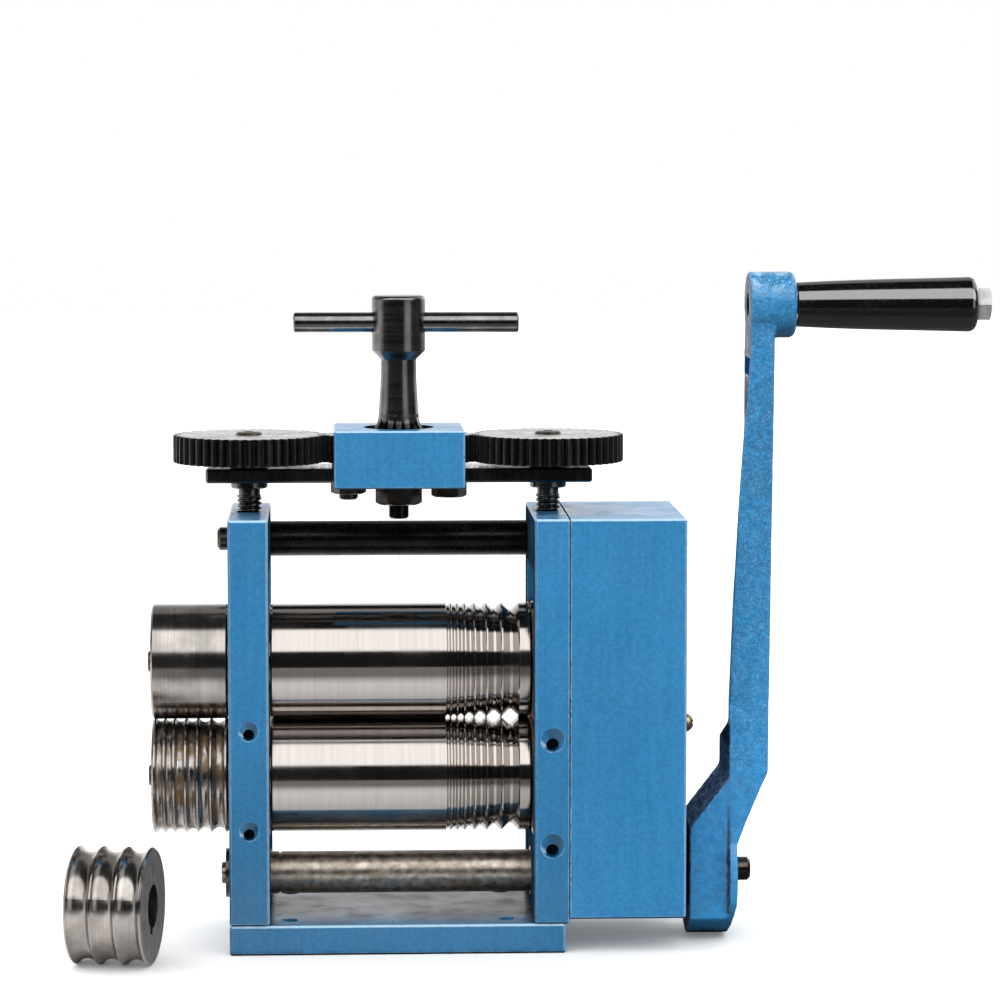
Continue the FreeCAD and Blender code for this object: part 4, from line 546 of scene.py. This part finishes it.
def outboard_steel(name, axis, radius, stained, face_axis):
    """Outboard roller: as the rolls, with a brown film in its grooves and a dull turned face.

    axis holds the Y and Z of the roller's axis, and face_axis points out of the face that is left dull.
    """
    skin = Finish(name, Anisotropic=0.3)
    _, y, z = skin.parts()
    lines = skin.lines(4300, 26, 26)
    sunk = skin.step(skin.off_axis(y, z, axis), radius, 0, -1.7)
    stain = skin.times(sunk, skin.grain(150, 6, -0.3, 1.3), stained)
    oil = skin.grain(90, 6, 0.66, 1.02)
    steel = skin.scaled(skin.colours.roll_steel, skin.times(skin.fit(lines, 0.8, 1.0), oil))
    face = skin.facing(face_axis, 0.85, 0.96)
    turned = skin.scaled(TURNED_FACE, skin.grain(240, 6, 0.7, 1.15))
    tint = skin.mix(face, skin.mix(stain, steel, skin.colours.stain), turned)
    # soiling with painted shade in the grooves and corners
    dirt_and_shade = skin.times(skin.dirt_and_shade(0.6 * skin.sizes.dirt_and_shade_reach, 400), 0.8)
    rough = skin.plus(skin.fit(lines, 0.13, 0.21), skin.times(stain, 0.35), skin.times(face, 0.4))
    return skin.feed(Base_Color=skin.mix(dirt_and_shade, tint, skin.colours.grime_and_shade), Roughness=rough,
                     Metallic=skin.fit(face, 1.0, 0.35), Normal=skin.bump(lines, 0.0015 * MM))


def shaft_steel():
    """Bare turned shaft with a mottled brown film of old oil."""
    skin = Finish("oiled_shaft_steel", Metallic=1.0)
    lines = skin.lines(2600, 40, 40)
    mottle = skin.grain(330, 6, 0.55, 1.25)
    patch = skin.grain(70, 5)
    rough = skin.plus(skin.times(mottle, 0.1), skin.fit(patch, 0.2, 0.3))
    steel = skin.scaled(skin.colours.shaft_steel, mottle)
    return skin.feed(Base_Color=skin.mix(skin.times(patch, 0.5), steel, SHAFT_FILM), Roughness=rough,
                     Normal=skin.bump(skin.plus(lines, mottle), 0.004 * MM))


def black_oxide(name, stretch, share=1.0, low_rough=0.13, high_rough=0.22, depth=0.004 * MM,
                black_below=None):
    """Blackened, oiled steel with the tool's lines across its axis and grey wear on the edges.

    share is the steel's tone and depth its lines' depth. Below the height given last it is made black.
    """
    skin = Finish(name, Metallic=1.0)
    lines = skin.lines(*stretch)
    dark = skin.scaled(skin.colours.oxide, skin.grain(120, 5, 0.75 * share, 1.25 * share))
    edge = skin.times(skin.edge(0.45 * MM, 240, 0.85), 0.4)
    dust_mask = skin.effect("dust", Scale=210.0, Amount=0.12)
    tint = skin.mix(dust_mask, skin.mix(edge, dark, skin.colours.gear_top), STEEL_DUST)
    # soiling with painted shade in corners and holes
    dirt_and_shade = skin.dirt_and_shade(0.6 * skin.sizes.dirt_and_shade_reach, 300)
    if black_below:
        dirt_and_shade = skin.most(dirt_and_shade, skin.step(skin.parts()["Z"], black_below, 0, -2))
    rough = skin.plus(skin.fit(lines, low_rough, high_rough), skin.times(dust_mask, 0.8))
    return skin.feed(Base_Color=skin.mix(skin.times(dirt_and_shade, 0.9), tint, skin.colours.grime_and_shade), Roughness=rough,
                     Normal=skin.bump(lines, depth))


def train_gear():
    """Gear of the screw-down train: bare machined upper face, blackened teeth with shiny flanks."""
    skin = Finish("train_gear_steel")
    top = skin.facing(UP, 0.8, 0.97)
    mottle = skin.grain(260, 6, 0.55, 1.15)
    spotted = skin.mix(skin.grain(90, 6, -0.5, 0.6), skin.scaled(skin.colours.gear_top, mottle), GEAR_SPOTS)
    tint = skin.mix(top, [0.25 * part for part in skin.colours.oxide], spotted)
    tint = skin.mix(skin.times(skin.edge(0.3 * MM, 300, 0.6), 0.45), tint, GEAR_EDGE)
    # soiling with painted shade in corners and holes
    dirt_and_shade = skin.times(skin.dirt_and_shade(0.5 * skin.sizes.dirt_and_shade_reach, 300), 0.85)
    rough = skin.plus(skin.fit(top, 0.3, 0.22), skin.times(mottle, 0.08))
    return skin.feed(Base_Color=skin.mix(dirt_and_shade, tint, skin.colours.grime_and_shade), Roughness=rough,
                     Metallic=skin.fit(top, 0.85, 0.95), Normal=skin.bump(mottle, 0.01 * MM))


def plain_metal(name, tint, low_rough, high_rough, metallic=1.0, dark_end=None):
    """Small metal part: tint varied by grain, brighter worn edges, uneven gloss.

    dark_end is the X up to which the part is made black.
    """
    skin = Finish(name, Metallic=metallic)
    mottle = skin.grain(260, 5, 0.78, 1.12)
    light = [min(1.0, 1.5 * part + 0.08) for part in tint]
    worn = skin.mix(skin.times(skin.edge(0.3 * MM, 400, 0.5), 0.5), skin.scaled(tint, mottle), light)
    # soiling with painted shade in corners and holes
    dirt_and_shade = skin.dirt_and_shade(2.5 * MM, 400)
    if dark_end:
        dirt_and_shade = skin.most(dirt_and_shade, skin.step(skin.parts()["X"], dark_end, 0, -0.5))
    return skin.feed(Base_Color=skin.mix(skin.times(dirt_and_shade, 0.9), worn, SCREW_DIRT_AND_SHADE),
                     Roughness=skin.grain(182, 4, low_rough, high_rough),
                     Normal=skin.bump(mottle, 0.005 * MM))


def grip_plastic():
    """Black moulded plastic, glossy, with faint scuffs and mould ripple."""
    skin = Finish("gloss_grip_plastic", Coat_Weight=1.0, Coat_Roughness=0.03, Coat_IOR=2.2,
                  Specular_IOR_Level=0.85)
    scuff = skin.fit(skin.grain(900, 6, -1.4, 1), 0.0, 1.0)
    rough = skin.plus(skin.times(scuff, 0.15), skin.grain(60, 3, 0.08, 0.14))
    tint = skin.mix(skin.times(scuff, 0.05), skin.colours.plastic, GRIP_SCUFF)
    return skin.feed(Base_Color=tint, Roughness=rough, Normal=skin.bump(skin.grain(75, 1), 0.02 * MM))


def dress(material, *names):
    """Gives the material to those CAD nodes or pieces."""
    for name in names:
        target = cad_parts.get(name) or bpy.data.objects[name]
        target.data.materials.clear()
        target.data.materials.append(material)


def dress_plain(context, metals):
    """Dresses parts in plain metal, from rows of finish, colour, lowest and highest roughness, and nodes."""
    for name, tint, low_rough, high_rough, nodes in metals:
        dress(plain_metal(name, getattr(context.scene.mill_colours, tint), low_rough, high_rough), *nodes)


# ---- meshes
def place_piece(name, mesh, body, node):
    """New object with that mesh, riding on a body in place of a CAD node."""
    piece = bpy.data.objects.new(name, mesh)
    bpy.context.scene.collection.objects.link(piece)
    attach(piece, body)
    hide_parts(node)


def mesh_of(name, points, faces):
    """New mesh from point and face arrays."""
    mesh = bpy.data.meshes.new(name)
    mesh.from_pydata(points.tolist(), [], faces)
    mesh.update()
    return mesh


def turned_rings(along, radii, around):
    """Rings of a turned surface: radius over the distance along the axis, and over the angle around it.

    The last axis holds the distance along, and the radius times the angle's cosine and sine.
    """
    radii = np.broadcast_to(radii, (len(along), len(around)))
    along = np.broadcast_to(along[:, None], radii.shape)
    return np.stack([along, radii * np.cos(around), radii * np.sin(around)], axis=-1)


def grid_faces(rows, columns):
    """Corner numbers of the quads of a grid of rows x columns points that is closed around its columns."""
    row = np.arange(rows - 1)[:, None] * columns
    here = np.arange(columns)[None, :]
    there = (here + 1) % columns
    quads = np.stack([row + here, row + there, row + columns + there, row + columns + here], axis=-1)
    return quads.reshape(-1, 4)


def capped_tube(rings):
    """Points and faces of a closed tube from an array of rings, with a point at the middle of each end."""
    count, sides = rings.shape[:2]
    ends = [rings[0].mean(axis=0), rings[-1].mean(axis=0)]
    points = np.concatenate([rings.reshape(-1, 3), ends])
    around = np.arange(sides)
    following = (around + 1) % sides
    top = (count - 1) * sides
    start_cap = np.stack([np.full(sides, count * sides), following, around], axis=-1)
    end_cap = np.stack([np.full(sides, count * sides + 1), top + around, top + following], axis=-1)
    return points, grid_faces(count, sides).tolist() + start_cap.tolist() + end_cap.tolist()


# ---- operators
class MILL_OT_stage(bpy.types.Operator):
    """Pale floor, soft studio light all round and the camera"""

    bl_idname = "mill.stage"
    bl_label = "Studio"

    # what gloss reflects round the rolls' length: degrees from the front horizon up and over, strength
    bands = ((-90.0, 0.012), (24.0, 0.012), (27.5, 2.1), (70.0, 2.1), (75.0, 0.012), (117.0, 0.012),
             (122.0, 0.36), (152.0, 0.42), (166.0, 1.15), (190.0, 1.15), (270.0, 0.6))
    # how far to the side the bands end, and the dark beyond
    band_ends = (0.8, 0.97)
    side_dark = (0.02, 0.02, 0.02)
    # upright soft boxes: between which shares of X they rise and fall, strength
    right_rise, right_fall, right_strength = (0.4, 0.5), (0.86, 0.76), 0.75
    left_rise, left_strength = (-0.93, -0.975), 0.9
    # the floor's tone in gloss: between which Y and with which tones, and the same for X
    gloss_back = (-0.3, -0.12, 0.2, 1.0)
    gloss_right = (0.12, 0.02, 0.06, 1.0)
    # share of light that the floor throws on, and its glow for the camera
    floor_spill, floor_glow = 0.5, 0.1
    # even light: its strength from below and from above, and where it is strongest
    soft_light = (0.44, 2.0)
    light_from = (-0.3, -0.25, 0.92)
    # camera's sensor in mm, and how near and far it sees
    sensor, sight = 36.0, (0.05, 50.0)

    def execute(self, context):
        self.floor(context)
        self.light(context)
        self.camera(context)
        context.scene.view_settings.view_transform = "Standard"
        return {"FINISHED"}

    def floor(self, context):
        """Pale floor that glossy pieces see as dim near the mill and dark to its right."""
        sizes = context.scene.mill_sizes
        half, front = sizes.floor_half, -sizes.floor_front
        corners = np.array([(-half, front, 0), (half, front, 0), (half, half, 0), (-half, half, 0)])
        floor = bpy.data.objects.new("floor", mesh_of("floor", corners, [(0, 1, 2, 3)]))
        context.scene.collection.objects.link(floor)
        skin = Finish("studio_floor", Specular_IOR_Level=0.2, Emission_Color=(1.0, 1.0, 1.0))
        x, y, _ = skin.parts()
        pale = skin.scaled(skin.colours.floor, skin.grain(3, 2, 0.99, 1.01))
        by_mill = skin.times(skin.spread(y, *self.gloss_back), skin.spread(x, *self.gloss_right))
        ray = skin.node("ShaderNodeLightPath")
        lit = skin.mix(ray["Is Diffuse Ray"], pale, skin.scaled(pale, self.floor_spill))
        seen = skin.mix(ray["Is Glossy Ray"], lit, skin.scaled(pale, by_mill))
        glow = skin.times(ray["Is Camera Ray"], self.floor_glow)
        dress(skin.feed(Base_Color=seen, Roughness=skin.grain(30, 2, 0.55, 0.65), Emission_Strength=glow),
              "floor")

    def light(self, context):
        """Even soft light, and for gloss a sky of long soft boxes by the angle around the rolls' length."""
        world = bpy.data.worlds.new("studio_light")
        world.use_nodes = True
        context.scene.world = world
        world.node_tree.nodes.clear()
        sky = Shading(world.node_tree)
        towards = sky.node("ShaderNodeTexCoord")["Generated"]
        across, ahead, up = sky.parts(towards)
        around = sky.math("ARCTAN2", ahead, up)
        share = sky.node("ShaderNodeMapRange", {0: around, 1: -math.pi, 2: math.pi})[0]
        ramp = sky.node("ShaderNodeValToRGB", {0: share})[0]
        stops = ramp.node.color_ramp.elements
        strongest = max(strength for degrees, strength in self.bands)
        while len(stops) < len(self.bands):
            stops.new(0.5)
        for stop, (degrees, strength) in zip(stops, self.bands):
            stop.position = (degrees + 90.0) / 360.0
            level = strength / strongest
            stop.color = (level, level, level, 1.0)
        side = sky.spread(sky.math("ABSOLUTE", across), *self.band_ends)
        rolled = sky.mix(side, ramp, self.side_dark)
        right = sky.times(sky.spread(across, *self.right_rise), sky.spread(across, *self.right_fall),
                          self.right_strength / strongest)
        left = sky.spread(across, *self.left_rise, 0.0, self.left_strength / strongest)
        upright = sky.scaled((1.0, 1.0, 1.0), sky.plus(right, left))
        boxes = self.background(sky, strongest, sky.vector_math("ADD", rolled, upright)[0])
        weak, strong = self.soft_light
        above = {0: sky.dot(towards, self.light_from), 1: -1.0, 2: 1.0, 3: weak, 4: strong}
        even = self.background(sky, sky.node("ShaderNodeMapRange", above)[0])
        ray = sky.node("ShaderNodeLightPath")
        lit = sky.node("ShaderNodeMixShader", {0: ray["Is Glossy Ray"], 1: even, 2: boxes})[0]
        plain = self.background(sky, 1.0)
        seen = sky.node("ShaderNodeMixShader", {0: ray["Is Camera Ray"], 1: lit, 2: plain})[0]
        sky.node("ShaderNodeOutputWorld", {"Surface": seen})

    def background(self, sky, strength, tint=(1.0, 1.0, 1.0)):
        """Light of that strength and colour."""
        return sky.node("ShaderNodeBackground", {"Color": tint, "Strength": strength})[0]

    def camera(self, context):
        """Camera in front, a little above and almost square on, with a long lens."""
        sizes = context.scene.mill_sizes
        data = bpy.data.cameras.new("camera")
        data.lens = sizes.camera_focal
        data.sensor_width = self.sensor
        data.clip_start, data.clip_end = self.sight
        camera = bpy.data.objects.new("camera", data)
        camera.location = sizes.camera_place
        camera.rotation_euler = (math.pi / 2 - sizes.camera_pitch, 0.0, -sizes.camera_yaw)
        context.scene.collection.objects.link(camera)
        context.scene.camera = camera


class MILL_OT_enamel(bpy.types.Operator):
    """Blue machine enamel on the frames, base plate, gear cover and gear housing"""

    bl_idname = "mill.enamel"
    bl_label = "Enamelled frame"

    # painted shade: the paint's tone near the floor and on the whole left frame; and the bore's radius in the
    # housing
    foot_shade, left_tone, mouth_radius = 0.72, 0.9, 14.6 * MM

    def execute(self, context):
        front_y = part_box("base_plate")[0].y
        bore = (middle("t_handle_spindle").x, self.mouth_radius)
        shade = self.foot_shade
        dress(enamel(), "gear_cover")
        # the left frame is a darker copy of the enamel, as painted shade
        dress(enamel("left_shaded_enamel", shade, inner_side=RIGHT, tone=self.left_tone), "left_side_frame")
        dress(enamel("right_enamel", shade, inner_side=LEFT), "right_side_frame")
        dress(enamel("base_enamel", shade, worn_top=(front_y, 0.0)), "base_plate")
        dress(enamel("housing_enamel", bore=bore), "gear_housing")
        return {"FINISHED"}


class MILL_OT_crank_arm(bpy.types.Operator):
    """Cast crank arm: the machined form with soft cast edges and an uneven surface"""

    bl_idname = "mill.crank_arm"
    bl_label = "Cast crank arm"

    # below the grip's axis: the foot of the pad's bare face, and the band of paint left across it
    pad_foot, band_foot, band_top = 50 * MM, 30 * MM, 21.5 * MM
    # how far the bare face stays under the arm's top, and how far the rubbed face reaches over the hub
    top_margin = 1.5 * MM
    shoulder_reach = 66 * MM
    # points closer than weld are one point; the cast form is softened by a share in a few rounds
    weld, soften_share, soften_rounds = 0.002 * MM, 0.5, 5
    # waves of the uneven surface: radians per mm along X, Y and Z, and the wave's start
    waves = ((0.31, 0.0, 0.17, 0.0), (0.0, 0.23, -0.13, 1.3), (0.29, 0.41, 0.0, 0.7), (0.0, 0.0, 0.11, 2.1))

    def execute(self, context):
        sizes = context.scene.mill_sizes
        draft = bpy.data.objects.new("cast_crank_arm_draft", self.welded(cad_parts["crank_arm"].data))
        context.scene.collection.objects.link(draft)
        remesh = draft.modifiers.new("remesh", "REMESH")
        remesh.mode = "VOXEL"
        remesh.voxel_size = sizes.cast_voxel
        remesh.use_smooth_shade = True
        soften = draft.modifiers.new("soften", "SMOOTH")
        soften.factor = self.soften_share
        soften.iterations = self.soften_rounds
        context.view_layer.update()
        ready = draft.evaluated_get(context.evaluated_depsgraph_get())
        cast = bpy.data.meshes.new_from_object(ready)
        cast.name = "cast_crank_arm"
        bpy.data.objects.remove(draft)
        self.sink(cast, sizes.cast_lump_depth)
        place_piece("cast_crank_arm", cast, "crank", "crank_arm")
        bolt = middle("grip_bolt")
        top_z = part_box("crank_arm")[1].z - self.top_margin
        pad_heights = (bolt.z - self.pad_foot, bolt.z - self.band_foot, bolt.z - self.band_top, top_z)
        shoulder_z = middle("crank_screw").z + self.shoulder_reach
        dress(hammered(pad_heights, shoulder_z, (bolt.y, bolt.z)), "cast_crank_arm")
        return {"FINISHED"}

    def welded(self, source):
        """Copy of a mesh with its coinciding points joined and its faces looking outwards."""
        form = bmesh.new()
        form.from_mesh(source)
        bmesh.ops.remove_doubles(form, verts=form.verts, dist=self.weld)
        bmesh.ops.recalc_face_normals(form, faces=form.faces)
        mesh = bpy.data.meshes.new("cast_crank_arm_form")
        form.to_mesh(mesh)
        form.free()
        return mesh

    def sink(self, mesh, depth):
        """Moves every point in along its normal, by the mean of sine waves, from nothing to depth."""
        count = len(mesh.vertices)
        points = np.empty(count * 3, np.float32)
        normals = np.empty(count * 3, np.float32)
        mesh.vertices.foreach_get("co", points)
        mesh.vertices.foreach_get("normal", normals)
        points, normals = points.reshape(-1, 3), normals.reshape(-1, 3)
        x, y, z = points.T / MM
        total = sum(np.sin(by_x * x + by_y * y + by_z * z + start) for by_x, by_y, by_z, start in self.waves)
        share = (total / len(self.waves) + 1.0) / 2.0
        points -= normals * (share * depth)[:, None]
        mesh.vertices.foreach_set("co", points.ravel())
        mesh.update()


class MILL_OT_grip(bpy.types.Operator):
    """Tapered glossy grip, turned about its axis, with a rounded nose"""

    bl_idname = "mill.grip"
    bl_label = "Handle grip"

    # how far the surface stays inside the CAD grip, and the taper from the nose to the foot
    inset = 0.02 * MM
    taper = 2.25 * MM
    foot_round = 0.6 * MM
    # the nose's length, how far its radius falls, the bolt's bore and the flat ring round it
    nose, nose_fall = 3.4 * MM, 3 * MM
    bore, ring = 4.12 * MM, 3 * MM
    # rings along the taper, and round the foot's edge and the nose
    taper_rings, foot_rings, nose_rings = 60, 8, 20

    def execute(self, context):
        """Radius over the distance along: a line plus a half sine wave that fades, between two arcs.

        A quarter circle rounds the foot and a quarter ellipse the nose; the bore joins both ends.
        """
        sizes = context.scene.mill_sizes
        low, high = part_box("handle_grip")
        span = high.x - low.x
        large = (high.z - low.z) / 2 - self.inset
        small = large - self.taper
        steps = np.linspace(0.0, 1.0, self.taper_rings)
        taper_x = self.foot_round + (span - self.nose - self.foot_round) * steps
        taper_r = small + (large - small) * steps + sizes.grip_swell * np.sin(math.pi * steps) * (1 - steps)
        edge = np.linspace(0.0, math.pi / 2, self.foot_rings)[1:-1]
        edge_x = self.foot_round * (1 - np.cos(edge))
        edge_r = small - self.foot_round * (1 - np.sin(edge))
        turn = np.linspace(0.0, math.pi / 2, self.nose_rings)[1:]
        nose_x = span - self.nose + self.nose * np.sin(turn)
        nose_r = large - self.nose_fall * (1 - np.cos(turn))
        along = np.concatenate([[0.0, 0.0], edge_x, taper_x, nose_x, [span, span]])
        radii = np.concatenate([[self.bore, small - self.foot_round], edge_r, taper_r, nose_r,
                                [self.bore + self.ring, self.bore]])
        around = np.linspace(0.0, 2 * math.pi, sizes.grip_sides, endpoint=False)
        axis = middle("handle_grip")
        rings = turned_rings(along, radii[:, None], around) + (low.x, axis.y, axis.z)
        # one row more than there are rings, so that the last ring meets the first one
        faces = grid_faces(len(along) + 1, len(around)) % (len(along) * len(around))
        mesh = mesh_of("turned_grip", rings.reshape(-1, 3), faces.tolist())
        mesh.shade_smooth()
        place_piece("turned_grip", mesh, "grip", "handle_grip")
        dress(grip_plastic(), "turned_grip")
        return {"FINISHED"}


class MILL_OT_pressure_screws(bpy.types.Operator):
    """Two pressure screws with a true helical thread, neck, collar and gear seat"""

    bl_idname = "mill.pressure_screws"
    bl_label = "Pressure screws"

    # radii from the foot up: plain dog, thread, neck under the collar, collar, journal, gear's seat
    dog_r, thread_r, neck_r = 3.6 * MM, 5.2 * MM, 4.55 * MM
    collar_r, journal_r, seat_r = 7.7 * MM, 5 * MM, 4 * MM
    # heights: the dog, the thread's run-in, the collar and the neck under it, and the collar's bevel
    dog_height, run_in, collar_height, bevel = 3 * MM, 0.5 * MM, 2.9 * MM, 0.5 * MM
    # clearances under the bar and over it
    under_bar, over_bar = 3.05 * MM, 0.15 * MM
    # thread: rings per turn, points around, and its flank's outer end and width as shares of the pitch
    turn_rings, sides = 20, 72
    flank_end, flank_width = 0.35, 0.3

    def execute(self, context):
        material = black_oxide("screw_oxide", (30.0, 30.0, 900.0))
        for side in ("left", "right"):
            self.screw(context.scene.mill_sizes, side)
            dress(material, side + "_threaded_screw")
        return {"FINISHED"}

    def screw(self, sizes, side):
        """Radius over angle and height: the thread's trapezium climbs one pitch for each turn."""
        pitch = sizes.thread_pitch
        low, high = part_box(side + "_pressure_screw")
        bar_low, bar_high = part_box("bridge_bar")
        dog_top = low.z + self.dog_height
        collar_low = bar_low.z - self.under_bar
        collar_high = collar_low + self.collar_height
        neck_low = collar_low - self.collar_height
        hub = bar_high.z + self.over_bar
        rows = int(round((neck_low - dog_top) / pitch * self.turn_rings))
        thread_z = np.linspace(dog_top + self.run_in, neck_low, rows)
        around = np.linspace(0.0, 2 * math.pi, self.sides, endpoint=False)
        phase = (thread_z[:, None] / pitch - around / (2 * math.pi)) % 1.0
        from_root = np.minimum(phase, 1.0 - phase)
        groove = np.clip((self.flank_end - from_root) / self.flank_width, 0.0, 1.0)
        fade = np.clip((neck_low - thread_z) / pitch, 0.0, 1.0)[:, None]
        thread = self.thread_r - sizes.thread_depth * groove * fade
        foot = np.array([(low.z, self.dog_r), (dog_top, self.dog_r)])
        head = np.array([(neck_low, self.neck_r), (collar_low, self.neck_r),
                         (collar_low, self.collar_r - self.bevel), (collar_low + self.bevel, self.collar_r),
                         (collar_high, self.collar_r), (collar_high, self.journal_r),
                         (hub, self.journal_r), (hub, self.seat_r), (high.z, self.seat_r)])
        heights = np.concatenate([foot[:, 0], thread_z, head[:, 0]])
        plain = [np.repeat(part[:, 1:], self.sides, axis=1) for part in (foot, head)]
        radii = np.concatenate([plain[0], thread, plain[1]])
        axis = middle(side + "_pressure_screw")
        # the rings are made along the first axis and stand along Z
        rings = np.roll(turned_rings(heights, radii, around), -1, axis=-1) + (axis.x, axis.y, 0.0)
        name = side + "_threaded_screw"
        place_piece(name, mesh_of(name, *capped_tube(rings)), side + "_screw",
                    side + "_pressure_screw")


class MILL_OT_rolls(bpy.types.Operator):
    """Ground rolls, outboard rollers, roll gears and the crank shaft"""

    bl_idname = "mill.rolls"
    bl_label = "Rolls and shaft"

    # how far the loose roller is turned to the front, and how stained each outboard roller is
    spare_turn = math.radians(10.0)
    stained = {"lower": 0.85, "upper": 0.25, "spare": 0.15}
    metals = (("greased_gear_steel", "greased", 0.25, 0.42,
               ("lower_roll_gear", "upper_roll_gear", "drive_gear")),)

    def execute(self, context):
        dress(roll_steel(), "lower_roller", "upper_roller")
        loose_face = (math.cos(self.spare_turn), -math.sin(self.spare_turn), 0.0)
        for place, stained in self.stained.items():
            node = place + "_extension_roller"
            low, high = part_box(node)
            axis, radius = middle(node), (high.z - low.z) / 2
            face_axis = loose_face if place == "spare" else LEFT
            dress(outboard_steel(node + "_steel", (axis.y, axis.z), radius, stained, face_axis), node)
        dress(shaft_steel(), "drive_shaft")
        dress_plain(context, self.metals)
        return {"FINISHED"}


class MILL_OT_screw_down(bpy.types.Operator):
    """Screw-down train: bar, gears, spindle, tommy bar and tie rod in black oxide"""

    bl_idname = "mill.screw_down"
    bl_label = "Screw-down train"

    # stretch of the tool lines on pieces that lie along X, and on the upright spindle
    lying, upright = (900.0, 60.0, 60.0), (40.0, 40.0, 1500.0)
    # how far above the housing the spindle is made black
    teeth_reach = 3.5 * MM

    def execute(self, context):
        teeth_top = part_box("gear_housing")[1].z + self.teeth_reach
        dress(black_oxide("bar_oxide", self.lying), "bridge_bar")
        dress(black_oxide("tommy_oxide", self.lying, share=1.7), "tommy_bar")
        dress(black_oxide("rod_oxide", self.lying, share=0.19, low_rough=0.22, high_rough=0.34,
                          depth=0.0008 * MM), "upper_tie_rod")
        dress(black_oxide("spindle_oxide", self.upright, share=1.35, low_rough=0.17,
                          high_rough=0.26, depth=0.0012 * MM, black_below=teeth_top), "t_handle_spindle")
        dress(train_gear(), "left_screw_gear", "right_screw_gear", "left_idler_gear",
              "right_idler_gear")
        return {"FINISHED"}


class MILL_OT_fasteners(bpy.types.Operator):
    """Screws, nuts, washers, pillars and the grip bolt"""

    bl_idname = "mill.fasteners"
    bl_label = "Fasteners"

    metals = (
        ("dark_screw_steel", "dark_screw", 0.2, 0.36,
         ("tie_rod_screws", "frame_foot_screws", "idler_bolt", "idler_stud", "idler_nut", "spindle_nut",
          "crank_screw", "shaft_end_washer", "lower_end_screw", "upper_end_screw")),
        ("zinc_plate", "zinc", 0.18, 0.34,
         ("crank_washer", "lower_end_washer", "upper_end_washer", "cover_pillars", "lower_roll_nut",
          "upper_roll_nut")),
        ("passivated_screw", "brass", 0.2, 0.36, ("cover_screws",)),
        ("worn_screw", "worn_screw", 0.22, 0.38, ("shaft_end_screw", "left_gear_screw", "right_gear_screw")),
    )
    # length of the bolt's end that is made black
    black_end_length = 2 * MM

    def execute(self, context):
        dress_plain(context, self.metals)
        bolt_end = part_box("grip_bolt")[0].x + self.black_end_length
        dress(plain_metal("bright_bolt", context.scene.mill_colours.grip_bolt, 0.3, 0.45, metallic=0.4,
                          dark_end=bolt_end), "grip_bolt")
        return {"FINISHED"}


class MILL_OT_bearings(bpy.types.Operator):
    """Bronze bearings and bushes, hardened pads and keys, and the lift springs"""

    bl_idname = "mill.bearings"
    bl_label = "Bearings and springs"

    metals = (
        ("bearing_bronze", "bronze", 0.25, 0.42,
         ("left_lower_bearing", "right_lower_bearing", "left_upper_bearing", "right_upper_bearing",
          "left_shaft_bush", "right_shaft_bush", "cover_bush")),
        ("hardened_steel", "hardened", 0.22, 0.34, ("pressure_pads", "lower_roll_keys", "upper_roll_keys")),
        ("spring_wire", "spring", 0.24, 0.38, ("lift_springs",)),
    )

    def execute(self, context):
        dress_plain(context, self.metals)
        return {"FINISHED"}


OPERATORS = (MILL_OT_stage, MILL_OT_enamel, MILL_OT_crank_arm, MILL_OT_grip, MILL_OT_pressure_screws,
             MILL_OT_rolls, MILL_OT_screw_down, MILL_OT_fasteners, MILL_OT_bearings)


class MILL_PT_sidebar(bpy.types.Panel):
    """Steps that dress the mill, with the sizes and colours that they use"""

    bl_idname = "MILL_PT_sidebar"
    bl_label = "Rolling mill"
    bl_space_type = "VIEW_3D"
    bl_region_type = "UI"
    bl_category = "Mill"

    def draw(self, context):
        for step in OPERATORS:
            self.layout.operator(step.bl_idname)
        for group in (context.scene.mill_sizes, context.scene.mill_colours):
            box = self.layout.box()
            for name in group.__annotations__:
                box.prop(group, name)


CLASSES = (MillSizes, MillColours, *OPERATORS, MILL_PT_sidebar)


def register():
    for part in CLASSES:
        bpy.utils.register_class(part)
    bpy.types.Scene.mill_sizes = PointerProperty(type=MillSizes)
    bpy.types.Scene.mill_colours = PointerProperty(type=MillColours)


def unregister():
    del bpy.types.Scene.mill_colours
    del bpy.types.Scene.mill_sizes
    for part in reversed(CLASSES):
        bpy.utils.unregister_class(part)


def main():
    register()
    bpy.ops.mill.stage()
    bpy.ops.mill.enamel()
    bpy.ops.mill.crank_arm()
    bpy.ops.mill.grip()
    bpy.ops.mill.pressure_screws()
    bpy.ops.mill.rolls()
    bpy.ops.mill.screw_down()
    bpy.ops.mill.fasteners()
    bpy.ops.mill.bearings()


if __name__ == "__main__":
    main()
